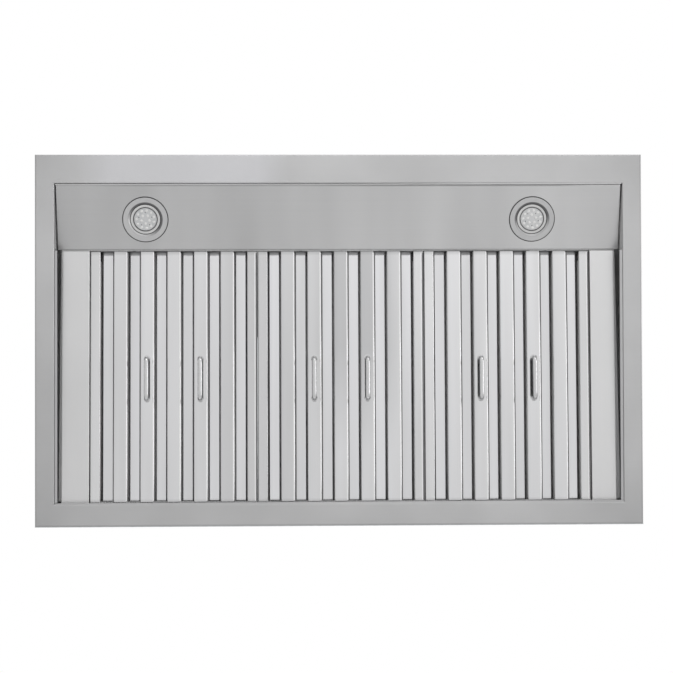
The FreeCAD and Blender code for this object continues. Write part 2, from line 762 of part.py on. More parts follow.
def make_filter_handles():
    """Two wire loops welded under the lower baffles, along the strips."""
    middle = (FILTER_REAR_OVERLAP - FILTER_FORWARD) / 2 - HANDLE_FORWARD
    half = HANDLE_LENGTH / 2 - HANDLE_WIRE_RADIUS
    corners = [
        Vector(middle + half, 0, 0),
        Vector(middle + half, -HANDLE_STANDOFF, 0),
        Vector(middle - half, -HANDLE_STANDOFF, 0),
        Vector(middle - half, 0, 0),
    ]
    path = Part.Wire(rounded_run(corners, [HANDLE_BEND_RADIUS, HANDLE_BEND_RADIUS]))
    ring = Part.Circle(corners[0], Vector(0, 1, 0), HANDLE_WIRE_RADIUS).toShape()
    wire = path.makePipeShell([Part.Wire(ring)], True, False)
    for corner in (corners[0], corners[-1]):
        foot = Part.makeCylinder(HANDLE_FOOT_RADIUS, HANDLE_FOOT_HEIGHT, corner, Vector(0, -1, 0))
        wire = wire.fuse(foot)
    wire = wire.removeSplitter()
    handles = []
    for index in HANDLE_STRIPS:
        handle = wire.copy()
        place = Placement(Vector(lower_centre(index), 0, 0), Rotation(Vector(1, 1, 1), 120))
        handle.Placement = place
        handles.append(handle)
    return handles


def catch_places():
    """Where each catch's tip crosses the filters' front members."""
    places = []
    for step in FILTER_PLACES.values():
        for index in CATCH_STRIPS:
            point = Vector(upper_centre(index), -FILTER_FORWARD, CATCH_HEIGHT)
            turn = Rotation(Vector(1, 0, 0), -math.degrees(FILTER_TILT))
            shift = Vector(filter_x(step), PIVOT_Y, PIVOT_Z)
            places.append(turn.multVec(point) + shift)
    return places


def make_filter_catches():
    """Spring plungers on the light panel's rear flange, with domed tips in the filters' holes."""
    catches = []
    for point in catch_places():
        seat = Vector(point.x, PANEL_REAR_Y - SHEET, point.z)
        barrel = cylinder(CATCH_BARREL_RADIUS, seat - Vector(0, CATCH_BARREL_LENGTH, 0), seat)
        tip = Vector(point.x, PANEL_REAR_Y + FILTER_FRONT_GAP + CATCH_BITE - CATCH_TIP_RADIUS, point.z)
        pin = cylinder(CATCH_TIP_RADIUS, seat, tip)
        dome = Part.makeSphere(CATCH_TIP_RADIUS, tip)
        catches.append(barrel.fuse([pin, dome]).removeSplitter())
    return catches


# Blower

def collar_y():
    """Middle of the duct collar: the middle of the scroll's outlet."""
    front, rear = outlet_span()
    return BLOWER_Y + (front + rear) / 2


def outlet_span():
    """Front and rear walls of the scroll's outlet, from the wheel's axis."""
    front = SCROLL_SHIFT_Y - SCROLL_STEP - (SCROLL_START_RADIUS + 2 * SCROLL_STEP)
    return front, SCROLL_SHIFT_Y


def scroll_outline(inset):
    """The scroll's outline in (y, z): three growing quarter arcs, then straight up to the outlet."""
    small = SCROLL_START_RADIUS - inset
    middle = small + SCROLL_STEP
    large = middle + SCROLL_STEP
    y = BLOWER_Y + SCROLL_SHIFT_Y
    z = BLOWER_Z + SCROLL_SHIFT_Z
    diagonal = math.sqrt(0.5)
    top = Vector(y, z + small, 0)
    rear = Vector(y + small, z, 0)
    bottom = Vector(y - SCROLL_STEP, z - middle, 0)
    front = Vector(y - SCROLL_STEP - large, z + SCROLL_STEP, 0)
    mid_one = Vector(y + small * diagonal, z + small * diagonal, 0)
    mid_two = Vector(y - SCROLL_STEP + middle * diagonal, z - middle * diagonal, 0)
    mid_three = Vector(y - SCROLL_STEP - large * diagonal, z + SCROLL_STEP - large * diagonal, 0)
    outlet_front = Vector(front.x, CANOPY_HEIGHT, 0)
    outlet_rear = Vector(y - inset, CANOPY_HEIGHT, 0)
    cut_off = Vector(y - inset, z + small, 0)
    edges = [
        Part.Arc(top, mid_one, rear).toShape(),
        Part.Arc(rear, mid_two, bottom).toShape(),
        Part.Arc(bottom, mid_three, front).toShape(),
        Part.LineSegment(front, outlet_front).toShape(),
        Part.LineSegment(outlet_front, outlet_rear).toShape(),
        Part.LineSegment(outlet_rear, cut_off).toShape(),
    ]
    if inset:
        edges.append(Part.LineSegment(cut_off, top).toShape())
    return Part.Face(Part.Wire(edges))


def make_blower_scroll():
    """The curved wall of the blower between its two side plates."""
    wall = scroll_outline(0).cut(scroll_outline(SHEET))
    half = SCROLL_HALF_WIDTH
    return along_x(wall.Faces[0], -half, half)


def make_blower_side(side):
    """A side plate of the blower with its inlet."""
    inner = side * SCROLL_HALF_WIDTH
    outer = side * (SCROLL_HALF_WIDTH + SHEET)
    plate = along_x(scroll_outline(0), min(inner, outer), max(inner, outer))
    inlet = on_axis(INLET_RADIUS, inner, outer)
    flange = box(outer, outer + side * OUTLET_FLANGE, *outlet_walls(), CANOPY_HEIGHT - SHEET,
                 CANOPY_HEIGHT)
    plate = plate.cut(inlet).fuse(flange).removeSplitter()
    holes = [screw_hole(place, Vector(0, 0, -1)) for place in collar_screw_places()]
    if side > 0:
        holes.extend(screw_hole(place, Vector(-1, 0, 0)) for place in bracket_screw_places())
    return plate.cut(holes)


def outlet_walls():
    """Front and rear of the outlet in y."""
    front, rear = outlet_span()
    return BLOWER_Y + front, BLOWER_Y + rear


def on_axis(radius, x0, x1):
    """A round bar along the wheel's axis."""
    low = Vector(min(x0, x1), BLOWER_Y, BLOWER_Z)
    return cylinder(radius, low, Vector(max(x0, x1), BLOWER_Y, BLOWER_Z))


def make_impeller_hub():
    """The hub of the double-inlet wheel and its middle disc."""
    hub = on_axis(HUB_RADIUS, -HUB_HALF_LENGTH, HUB_HALF_LENGTH)
    disc = on_axis(WHEEL_RADIUS, -WHEEL_RING / 2, WHEEL_RING / 2)
    bore = on_axis(SHAFT_RADIUS, -HUB_HALF_LENGTH, HUB_HALF_LENGTH)
    return hub.fuse(disc).removeSplitter().cut(bore)


def make_impeller_rings():
    """The two rings that tie the blades' outer ends."""
    rings = []
    for side in SIDES.values():
        start = side * (WHEEL_HALF_LENGTH - WHEEL_RING)
        end = side * WHEEL_HALF_LENGTH
        rings.append(on_axis(WHEEL_RADIUS, start, end).cut(on_axis(WHEEL_INNER_RADIUS, start, end)))
    return rings


def make_impeller_blades():
    """Two rows of forward-leaning blades, from the middle disc out to the rings."""
    tip = math.sqrt(WHEEL_RADIUS ** 2 - BLADE_LEAN ** 2) - BLADE_THICKNESS
    knee = (WHEEL_INNER_RADIUS + WHEEL_RADIUS) / 2
    points = [(WHEEL_INNER_RADIUS, 0), (knee, BLADE_LEAN / 4), (tip, BLADE_LEAN)]
    section = folded_sheet(points, BLADE_THICKNESS, BLADE_LEAN)
    blades = []
    for side in SIDES.values():
        reach = (side * WHEEL_RING / 2, side * (WHEEL_HALF_LENGTH - WHEEL_RING))
        blade = along_x(section, min(reach), max(reach))
        for index in range(BLADE_COUNT):
            copy = blade.copy()
            turn = Rotation(Vector(1, 0, 0), index * 360 / BLADE_COUNT)
            copy.Placement = Placement(Vector(0, BLOWER_Y, BLOWER_Z), turn).multiply(blade.Placement)
            blades.append(copy)
    return blades


def make_motor_shaft():
    """The motor's shaft, through the wheel's hub and the motor's bearings."""
    return on_axis(SHAFT_RADIUS, -HUB_HALF_LENGTH, MOTOR_OUTER_X)


def make_blower_motor():
    """The motor, partly inside the wheel, with a flange on the bracket."""
    seat = SCROLL_HALF_WIDTH + SHEET + BRACKET_SHEET
    body = on_axis(MOTOR_RADIUS, MOTOR_INNER_X, MOTOR_OUTER_X)
    flange = on_axis(MOTOR_FLANGE_RADIUS, seat, seat + MOTOR_FLANGE)
    bore = on_axis(SHAFT_RADIUS + SHAFT_CLEARANCE, MOTOR_INNER_X, MOTOR_OUTER_X)
    motor = body.fuse(flange).removeSplitter()
    ends = [edge for edge in motor.Edges
            if near(edge.BoundBox.XMin, edge.BoundBox.XMax)
            and (near(edge.BoundBox.XMin, MOTOR_INNER_X) or near(edge.BoundBox.XMin, MOTOR_OUTER_X))]
    return motor.makeFillet(MOTOR_EDGE_RADIUS, ends).cut(bore)


def bracket_screw_places():
    """Where the bracket's arms are screwed to the right side plate."""
    x = SCROLL_HALF_WIDTH + SHEET + BRACKET_SHEET
    reach = BRACKET_ARM_REACH - BRACKET_ARM_WIDTH / 2
    places = []
    for index in range(BRACKET_ARM_COUNT):
        angle = math.radians(270 + index * 360 / BRACKET_ARM_COUNT)
        places.append(Vector(x, BLOWER_Y + reach * math.cos(angle), BLOWER_Z + reach * math.sin(angle)))
    return places


def make_motor_bracket():
    """A ring with three arms that carries the motor in the right inlet."""
    inner = SCROLL_HALF_WIDTH + SHEET
    outer = inner + BRACKET_SHEET
    ring = on_axis(MOTOR_FLANGE_RADIUS, inner, outer)
    arms = []
    for index in range(BRACKET_ARM_COUNT):
        arm = box(inner, outer, 0, BRACKET_ARM_REACH, -BRACKET_ARM_WIDTH / 2, BRACKET_ARM_WIDTH / 2)
        turn = Rotation(Vector(1, 0, 0), 270 + index * 360 / BRACKET_ARM_COUNT)
        arm.Placement = Placement(Vector(0, BLOWER_Y, BLOWER_Z), turn).multiply(arm.Placement)
        arms.append(arm)
    hole = on_axis(MOTOR_RADIUS + MOTOR_CLEARANCE, inner, outer)
    screws = [screw_hole(place, Vector(-1, 0, 0)) for place in bracket_screw_places()]
    return ring.fuse(arms).removeSplitter().cut([hole] + screws)


# Duct collar and damper

def collar_screw_places():
    """Where the collar's flange is screwed through the roof plate to the blower's flanges."""
    front, rear = outlet_walls()
    x = SCROLL_HALF_WIDTH + SHEET + OUTLET_FLANGE / 2
    z = ROOF_TOP + SHEET
    inset = 2 * SCREW_HEAD_RADIUS
    return [Vector(side * x, y, z) for side in SIDES.values() for y in (front + inset, rear - inset)]


def rod_z():
    """Height of the damper's rod."""
    return ROOF_TOP + ROD_HEIGHT


def make_duct_collar():
    """The round collar that the duct slides over, with a flange on the roof plate."""
    base = Vector(0, collar_y(), ROOF_TOP)
    tube = cylinder(COLLAR_RADIUS, base, base + Vector(0, 0, COLLAR_HEIGHT))
    bore = cylinder(COLLAR_RADIUS - SHEET, base, base + Vector(0, 0, COLLAR_HEIGHT))
    side = max(COLLAR_RADIUS + COLLAR_FLANGE, SCROLL_HALF_WIDTH + SHEET + OUTLET_FLANGE)
    flange = box(-side, side, base.y - side, base.y + side, ROOF_TOP, ROOF_TOP + SHEET)
    reach = Vector(COLLAR_RADIUS, 0, 0)
    rod = Vector(0, collar_y(), rod_z())
    rod_hole = cylinder(ROD_RADIUS + ROD_CLEARANCE, rod - reach, rod + reach)
    collar = tube.fuse(flange).removeSplitter().cut([bore, rod_hole])
    top = rod_z() - FLAP_SHEET / 2 - SEAT_CLEARANCE
    for side in SIDES.values():
        reach = COLLAR_RADIUS - SHEET / 2
        y = collar_y() + side * reach
        stop = box(-STOP_WIDTH / 2, STOP_WIDTH / 2, y, y - side * (STOP_REACH + SHEET), top - SHEET, top)
        collar = collar.fuse(stop)
    return collar.removeSplitter().cut([screw_hole(place, Vector(0, 0, -1))
                                        for place in collar_screw_places()])


def make_damper_rod():
    """The rod across the collar that both flaps hang on."""
    reach = Vector(COLLAR_RADIUS, 0, 0)
    centre = Vector(0, collar_y(), rod_z())
    return cylinder(ROD_RADIUS, centre - reach, centre + reach)


def make_damper_flap(side):
    """Half a disc with two knuckles round the rod. The side is 1 at the rear and -1 at the front."""
    centre = Vector(0, collar_y(), rod_z())
    radius = COLLAR_RADIUS - SHEET - FLAP_EDGE_GAP
    knuckle = ROD_RADIUS + ROD_CLEARANCE + KNUCKLE_WALL
    half = Vector(0, 0, FLAP_SHEET / 2)
    disc = cylinder(radius, centre - half, centre + half)
    inner = knuckle + KNUCKLE_GAP
    away = box(-radius, radius, centre.y - side * radius, centre.y + side * inner, centre.z - radius,
               centre.z + radius)
    flap = disc.cut(away)
    for step in (-1, 1):
        x = step * KNUCKLE_PITCH + side * KNUCKLE_PITCH / 2
        start = Vector(x - KNUCKLE_LENGTH / 2, centre.y, centre.z)
        end = Vector(x + KNUCKLE_LENGTH / 2, centre.y, centre.z)
        tab = box(start.x, end.x, centre.y, centre.y + side * (inner + KNUCKLE_WALL),
                  centre.z - FLAP_SHEET / 2, centre.z + FLAP_SHEET / 2)
        flap = flap.fuse([cylinder(knuckle, start, end), tab])
    bore = Vector(radius, 0, 0)
    return flap.removeSplitter().cut(cylinder(ROD_RADIUS + ROD_CLEARANCE, centre - bore, centre + bore))


# Chimney

def chimney_sheet(half, front, rear, z0, z1, flange):
    """A three-sided cover, with flanges turned in along the wall if it has any."""
    points = [(-half, rear), (-half, front), (half, front), (half, rear)]
    if flange:
        points = [(-half + flange, rear)] + points + [(half - flange, rear)]
    return along_z(folded_sheet(points, SHEET, BEND), z0, z1)


def make_chimney_lower():
    """The lower chimney cover, standing on the roof plate."""
    top = ROOF_TOP + CHIMNEY_LOWER_HEIGHT
    return chimney_sheet(CHIMNEY_WIDTH / 2, -CHIMNEY_DEPTH, 0, ROOF_TOP, top, CHIMNEY_FLANGE)


def upper_half():
    """Half the width of the upper chimney cover."""
    return CHIMNEY_WIDTH / 2 - SHEET - CHIMNEY_CLEARANCE


def upper_base():
    """Height of the upper cover's lower edge when it rests on the feet."""
    return ROOF_TOP + FOOT_HEIGHT + SEAT_CLEARANCE


def make_chimney_upper():
    """The upper chimney cover, which slides inside the lower one."""
    front = -CHIMNEY_DEPTH + SHEET + CHIMNEY_CLEARANCE
    rear = -SHEET - CHIMNEY_CLEARANCE
    base = upper_base()
    cover = chimney_sheet(upper_half(), front, rear, base, base + CHIMNEY_UPPER_HEIGHT, 0)
    return cover.cut([screw_hole(place, way) for place, way in chimney_screw_places()])


def make_chimney_feet():
    """Two angles on the roof plate that hold the lower cover and stop the upper one."""
    half = CHIMNEY_WIDTH / 2 - SHEET
    middle = -CHIMNEY_DEPTH / 2
    points = [
        (half - FOOT_REACH, ROOF_TOP),
        (half, ROOF_TOP),
        (half, ROOF_TOP + FOOT_HEIGHT),
    ]
    foot = along_y(folded_sheet(points, FOOT_SHEET, BEND), middle + FOOT_LENGTH / 2,
                   middle - FOOT_LENGTH / 2)
    return [foot, mirrored(foot)]


def wall_bracket_span():
    """Lower and upper edge of the chimney's wall bracket."""
    top = upper_base() + CHIMNEY_UPPER_HEIGHT - WALL_BRACKET_DROP
    return top - WALL_BRACKET_HEIGHT, top


def make_chimney_bracket():
    """The strap on the wall that holds the upper cover's two sides."""
    low, high = wall_bracket_span()
    half = upper_half() - SHEET
    points = [(-half, -WALL_BRACKET_EAR), (-half, 0), (half, 0), (half, -WALL_BRACKET_EAR)]
    face = folded_sheet(points[::-1], WALL_BRACKET_SHEET, BEND)
    bracket = along_z(face, low, high)
    middle = (low + high) / 2
    cuts = []
    for side in SIDES.values():
        x = side * WALL_BRACKET_SCREW_SPACING / 2
        cuts.append(cylinder(WALL_BRACKET_HOLE_RADIUS, Vector(x, -WALL_BRACKET_SHEET, middle),
                             Vector(x, 0, middle)))
    cuts.extend(screw_hole(place, direction) for place, direction in chimney_screw_places())
    return bracket.cut(cuts)


def chimney_screw_places():
    """Where the upper cover is screwed to its wall bracket, with the way each screw points."""
    low, high = wall_bracket_span()
    y = -WALL_BRACKET_EAR / 2
    middle = (low + high) / 2
    return [(Vector(side * upper_half(), y, middle), Vector(-side, 0, 0)) for side in SIDES.values()]


# Controls and electrics

def button_places():
    """Where each button's axis meets the front lip."""
    first = -BUTTON_PITCH * (len(BUTTON_NAMES) - 1) / 2
    return [Vector(first + index * BUTTON_PITCH, -HOOD_DEPTH, BUTTON_Z)
            for index in range(len(BUTTON_NAMES))]


def switch_front():
    """Front face of the switch box."""
    return -HOOD_DEPTH + SHEET + SWITCH_BOX_GAP


def make_button(place):
    """A round push button: cap, collar behind the lip and stem into the switch box."""
    def axial(radius, y0, y1):
        return cylinder(radius, Vector(place.x, y0, place.z), Vector(place.x, y1, place.z))

    face = place.y - BUTTON_PROUD
    behind = place.y + SHEET + SEAT_CLEARANCE
    cap = axial(BUTTON_RADIUS, face, behind)
    rim = [edge for edge in cap.Edges if near(edge.BoundBox.YMax, face)]
    cap = cap.makeFillet(BUTTON_EDGE_RADIUS, rim)
    collar = axial(BUTTON_COLLAR_RADIUS, behind, behind + BUTTON_COLLAR_DEPTH)
    stem = axial(BUTTON_STEM_RADIUS, behind, switch_front() + BUTTON_STEM_BITE)
    return cap.fuse([collar, stem]).removeSplitter()


def make_switch_box():
    """The box behind the lip with a socket for each button's stem."""
    front = switch_front()
    half = SWITCH_BOX_LENGTH / 2
    shell = box(-half, half, front, front + SWITCH_BOX_DEPTH, SHEET, SHEET + SWITCH_BOX_HEIGHT)
    depth = BUTTON_STEM_BITE + BUTTON_TRAVEL + SEAT_CLEARANCE
    sockets = []
    for place in button_places():
        start = Vector(place.x, front, place.z)
        sockets.append(cylinder(BUTTON_STEM_RADIUS + BUTTON_CLEARANCE, start,
                                start + Vector(0, depth, 0)))
    return shell.cut(sockets)


def make_junction_box():
    """The open steel box on the back panel that holds the motor's capacitor and the lamp driver."""
    front = -SHEET - BOX_DEPTH
    outer = box(BOX_LEFT_X, BOX_RIGHT_X, front, -SHEET, BOX_BASE_Z, BOX_BASE_Z + BOX_HEIGHT)
    room = box(BOX_LEFT_X + BOX_WALL, BOX_RIGHT_X - BOX_WALL, front, -SHEET - BOX_WALL,
               BOX_BASE_Z + BOX_WALL, BOX_BASE_Z + BOX_HEIGHT - BOX_WALL)
    lead = Vector(BOX_LEFT_X, -SHEET - BOX_DEPTH / 2, BOX_BASE_Z + BOX_HEIGHT / 2)
    hole = cylinder(BOX_LEAD_RADIUS, lead, lead + Vector(BOX_WALL, 0, 0))
    return outer.cut([room, hole])


def make_junction_cover():
    """The lid on the front of the junction box."""
    front = -SHEET - BOX_DEPTH
    return box(BOX_LEFT_X, BOX_RIGHT_X, front - BOX_WALL, front, BOX_BASE_Z,
               BOX_BASE_Z + BOX_HEIGHT)


def make_run_capacitor():
    """The motor's run capacitor, lying on the floor of the junction box."""
    x = BOX_LEFT_X + (BOX_WIDTH - CAPACITOR_LENGTH) / 2
    z = BOX_BASE_Z + BOX_WALL + CAPACITOR_RADIUS
    y = -SHEET - BOX_WALL - CAPACITOR_RADIUS
    return cylinder(CAPACITOR_RADIUS, Vector(x, y, z), Vector(x + CAPACITOR_LENGTH, y, z))


def make_lamp_driver():
    """The lamps' driver, against the back of the junction box above the capacitor."""
    x = BOX_LEFT_X + (BOX_WIDTH - DRIVER_LENGTH) / 2
    z = BOX_BASE_Z + BOX_WALL + 2 * CAPACITOR_RADIUS + SEAT_CLEARANCE
    rear = -SHEET - BOX_WALL
    return box(x, x + DRIVER_LENGTH, rear - DRIVER_DEPTH, rear, z, z + DRIVER_HEIGHT)


def make_cable_gland():
    """The gland in the roof plate that the mains cable comes in through, and its nut."""
    def at_gland(radius, z0, z1):
        return cylinder(radius, Vector(GLAND_X, GLAND_Y, z0), Vector(GLAND_X, GLAND_Y, z1))

    low = CANOPY_HEIGHT - GLAND_DEPTH
    top = ROOF_TOP + GLAND_FLANGE
    body = at_gland(GLAND_BODY_RADIUS, low, ROOF_TOP).fuse(at_gland(GLAND_FLANGE_RADIUS, ROOF_TOP, top))
    body = body.removeSplitter().cut(at_gland(GLAND_BORE_RADIUS, low, top))
    nut = at_gland(GLAND_FLANGE_RADIUS, CANOPY_HEIGHT - GLAND_NUT, CANOPY_HEIGHT)
    nut = nut.cut(at_gland(GLAND_BODY_RADIUS + GLAND_CLEARANCE, CANOPY_HEIGHT - GLAND_NUT, CANOPY_HEIGHT))
    return [body, nut]


def make_housing_screws():
    """The alike screws that hold the collar, the blower and the motor bracket."""
    screws = [screw(place, Vector(0, 0, -1)) for place in collar_screw_places()]
    screws.extend(screw(place, Vector(-1, 0, 0)) for place in bracket_screw_places())
    return screws


def all_parts():
    """Every node by name, as one solid or a list of solids."""
    parts = {
        "base_frame": make_base_frame(),
        "canopy_front": make_canopy_front(),
        "canopy_right": make_canopy_side(),
        "canopy_left": mirrored(make_canopy_side()),
        "back_panel": make_back_panel(),
        "roof_plate": make_roof_plate(),
        "light_panel": make_light_panel(),
        "side_filler_right": make_side_filler(SIDES["right"]),
        "side_filler_left": mirrored(make_side_filler(SIDES["left"])),
        "grease_tray": make_grease_tray(),
        "filter_catches": make_filter_catches(),
        "blower_scroll": make_blower_scroll(),
        "impeller_hub": make_impeller_hub(),
        "impeller_rings": make_impeller_rings(),
        "impeller_blades": make_impeller_blades(),
        "motor_shaft": make_motor_shaft(),
        "blower_motor": make_blower_motor(),
        "motor_bracket": make_motor_bracket(),
        "duct_collar": make_duct_collar(),
        "damper_rod": make_damper_rod(),
        "damper_flap_rear": make_damper_flap(1),
        "damper_flap_front": make_damper_flap(-1),
        "chimney_lower": make_chimney_lower(),
        "chimney_upper": make_chimney_upper(),
        "chimney_feet": make_chimney_feet(),
        "chimney_bracket": make_chimney_bracket(),
        "switch_box": make_switch_box(),
        "junction_box": make_junction_box(),
        "junction_cover": make_junction_cover(),
        "run_capacitor": make_run_capacitor(),
        "lamp_driver": make_lamp_driver(),
        "cable_gland": make_cable_gland(),
        "housing_screws": make_housing_screws(),
    }
    parts["chimney_screws"] = [screw(place, way) for place, way in chimney_screw_places()]
    lamp_makers = {"bezel": make_lamp_bezel, "body": make_lamp_body, "lens": make_lamp_lens}
    clips = []
    for side_name, side in SIDES.items():
        parts["blower_side_" + side_name] = make_blower_side(side)
        for piece, maker in lamp_makers.items():
            parts["lamp_" + piece + "_" + side_name] = on_panel(maker(), side)
        clips.extend(on_panel(clip, side) for clip in make_lamp_clips())
    parts["lamp_clips"] = clips
    for name, place in zip(BUTTON_NAMES, button_places()):
        parts["button_" + name] = make_button(place)
    filter_makers = {
        "frame": make_filter_frame,
        "lower_baffles": make_lower_baffles,
        "upper_baffles": make_upper_baffles,
        "handles": make_filter_handles,
    }
    for place_name, step in FILTER_PLACES.items():
        for piece, maker in filter_makers.items():
            solids = [bay_placed(solid, filter_x(step)) for solid in maker()]
            parts["filter_" + place_name + "_" + piece] = solids
    return parts


os.makedirs("parts", exist_ok=True)
for node, shape in all_parts().items():
    whole = Part.makeCompound(shape) if isinstance(shape, list) else shape
    whole.exportStep("parts/" + node + ".step")
    print(node, len(whole.Solids), "solids", round(whole.Volume / 1000, 2), "cm3", whole.isValid())
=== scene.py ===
# %% [markdown]
# # A wall mount range hood, seen from the cooker
# The hood hangs on a wall at y = 0, its front points along -Y and its underside is at z = 0. The picture
# looks straight up, so it shows the rim, the slanted light panel with two lamps and three baffle filters.
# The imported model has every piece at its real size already. This lesson adds the camera, the light, the
# finishes and the small forms that a sheet metal drawing leaves out.

import math

import bmesh
import bpy
from mathutils import Euler, Matrix, Vector


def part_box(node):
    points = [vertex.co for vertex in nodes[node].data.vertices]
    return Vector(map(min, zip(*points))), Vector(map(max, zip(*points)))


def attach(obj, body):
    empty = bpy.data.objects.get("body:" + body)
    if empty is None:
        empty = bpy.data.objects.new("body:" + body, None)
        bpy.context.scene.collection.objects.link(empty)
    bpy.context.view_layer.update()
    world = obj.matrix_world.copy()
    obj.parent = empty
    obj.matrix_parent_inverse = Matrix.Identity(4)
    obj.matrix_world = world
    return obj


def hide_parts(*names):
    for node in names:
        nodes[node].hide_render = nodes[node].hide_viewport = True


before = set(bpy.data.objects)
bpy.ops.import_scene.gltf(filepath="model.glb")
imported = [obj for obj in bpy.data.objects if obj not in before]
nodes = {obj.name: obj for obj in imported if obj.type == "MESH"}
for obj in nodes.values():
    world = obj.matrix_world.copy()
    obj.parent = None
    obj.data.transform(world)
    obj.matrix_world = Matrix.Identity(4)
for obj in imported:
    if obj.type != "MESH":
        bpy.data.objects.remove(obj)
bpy.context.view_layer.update()  # frame["bodies"], ["nodes"], ["joints"], ["record"]
scene = bpy.context.scene
SIDES = {"left": -1, "right": 1}  # the way along X to each side
scene.view_settings.view_transform = "Standard"

# %% [markdown]
# ## Camera
# The camera looks almost straight up from about 2.6 m under the rim. Its place and turn were fitted to twelve
# points measured in the picture: eight corners of the rim, two of the panel and the middles of the lamps.
# Lenses from 80 to 107 mm fit almost alike, so one between them was picked, and the result was trimmed a
# little. A camera looks along its own -Z, so a half turn about X points it upwards.

# %% Camera
CAMERA_BELOW_RIM = 2.593
CAMERA_FROM_WALL = 0.2397
CAMERA_LEFT_OF_MIDDLE = 0.0754
CAMERA_TURN = (-179.007, 1.549, 0.199)
LENS_MM = 92.23
SENSOR_MM = 36.0

camera_data = bpy.data.cameras.new("camera_below")
camera_data.lens = LENS_MM
camera_data.sensor_width = SENSOR_MM
camera = bpy.data.objects.new("camera_below", camera_data)
camera.location = (-CAMERA_LEFT_OF_MIDDLE, -CAMERA_FROM_WALL, -CAMERA_BELOW_RIM)
camera.rotation_euler = Euler([math.radians(turn) for turn in CAMERA_TURN])
scene.collection.objects.link(camera)
scene.camera = camera
print("camera", round(CAMERA_BELOW_RIM, 2), "m below the rim")

# %% [markdown]
# ## Node helpers
# The sky, the floor and every finish are node trees, so a few helpers come first. They put a node into a
# tree, mix two colours, or join a few values. A fade turns a distance or a direction into a mask. A Mapping
# node moves and tilts the object coordinates into the frame of one piece.

# %% Node helpers


def add_node(tree, kind, inputs=None, **settings):
    """Puts a node into a tree, sets its options, and sets its inputs or links a socket to them."""
    node = tree.nodes.new(kind)
    for name, value in settings.items():
        setattr(node, name, value)
    for name, value in (inputs or {}).items():
        if isinstance(value, bpy.types.NodeSocket):
            tree.links.new(value, node.inputs[name])
        else:
            node.inputs[name].default_value = value
    return node


def fade(owner, value, start, end, low=0.0, high=1.0):
    """A mask that goes from low to high while a value goes from start to end."""
    ramp = add_node(owner.node_tree, "ShaderNodeMapRange",
                    {"Value": value, "From Min": start, "From Max": end, "To Min": low, "To Max": high})
    return ramp.outputs[0]


def joined(owner, operation, *values, clamp=False):
    """One result of a few masks or values, such as the larger, the product or the size."""
    node = add_node(owner.node_tree, "ShaderNodeMath", dict(enumerate(values)),
                    operation=operation, use_clamp=clamp)
    return node.outputs[0]


def mixed(owner, share, first, second):
    """Two colours mixed by a share. The first can also come from another node."""
    if isinstance(first, tuple):
        first = (*first, 1.0)
    mix = add_node(owner.node_tree, "ShaderNodeMix",
                   {0: share, 6: first, 7: (*second, 1.0)}, data_type="RGBA")
    return mix.outputs[2]


def own_vector(material, place=(0.0, 0.0, 0.0), slant=0.0):
    """Object coordinates in a frame that was moved and tilted about X."""
    source = add_node(material.node_tree, "ShaderNodeTexCoord").outputs["Object"]
    mapping = add_node(material.node_tree, "ShaderNodeMapping",
                       {"Vector": source, "Location": place, "Rotation": (slant, 0.0, 0.0)},
                       vector_type="TEXTURE")
    return mapping.outputs["Vector"]


def own_axes(material, place=(0.0, 0.0, 0.0), slant=0.0):
    """The x, y and z of such a frame."""
    vector = own_vector(material, place, slant)
    return add_node(material.node_tree, "ShaderNodeSeparateXYZ", {0: vector}).outputs


def new_finish(name, metallic=0.0):
    """A new material and its shader."""
    material = bpy.data.materials.new(name)
    material.use_nodes = True
    shader = material.node_tree.nodes["Principled BSDF"]
    shader.inputs["Metallic"].default_value = metallic
    return material, shader


def grey(tone, blue=0.0):
    """A grey with a little more or less blue."""
    return (tone, tone, tone + blue)


print("node helpers ready")

# %% [markdown]
# ## White studio
# The picture has a plain white background. Sheet steel has no colour of its own and shows what is round
# it, so the studio decides how the hood looks. The sky is white for the camera, for reflections and for
# glass, and softer for the light that falls on matt surfaces. A Light Path node tells these rays apart.
# In reflections the upper sky gets darker towards the wall, so the faces of the canopy differ in tone.

# %% White studio
SOFT_SKY = 0.7
WALL_SHADE = 0.34
SHADE_FROM = -0.4
SHADE_TO = 0.9
FULL_SHADE_HEIGHT = 0.25

world = bpy.data.worlds.new("white_studio")
world.use_nodes = True
scene.world = world
sky = world.node_tree
background = sky.nodes["Background"]
background.inputs["Color"].default_value = (1.0, 1.0, 1.0, 1.0)
rays = add_node(sky, "ShaderNodeLightPath").outputs
mirror_rays = joined(world, "MAXIMUM", rays["Is Glossy Ray"], rays["Is Transmission Ray"])
white_rays = joined(world, "MAXIMUM", mirror_rays, rays["Is Camera Ray"])
strength = fade(world, white_rays, 0.0, 1.0, SOFT_SKY, 1.0)

direction = add_node(sky, "ShaderNodeTexCoord").outputs["Generated"]
sky_axes = add_node(sky, "ShaderNodeSeparateXYZ", {0: direction}).outputs
to_wall = fade(world, sky_axes["Y"], SHADE_FROM, SHADE_TO, 0.0, WALL_SHADE)
upward = fade(world, sky_axes["Z"], 0.0, FULL_SHADE_HEIGHT)
shade = joined(world, "MULTIPLY", joined(world, "MULTIPLY", to_wall, upward), mirror_rays)
sky.links.new(joined(world, "SUBTRACT", strength, shade), background.inputs["Strength"])
print("sky: white to the camera,", SOFT_SKY, "on matt surfaces")

# %% [markdown]
# ## Floor
# The underside of the hood looks down, so the floor is what its steel reflects. A pale floor lies well
# below the camera. A faint noise in its colour keeps the reflections from being perfectly even.

# %% Floor
FLOOR_Z = -4.0
FLOOR_SIZE = 16.0
FLOOR_DARK = grey(0.78, 0.005)
FLOOR_PALE = grey(0.84)
FLOOR_ROUGHNESS = 0.9

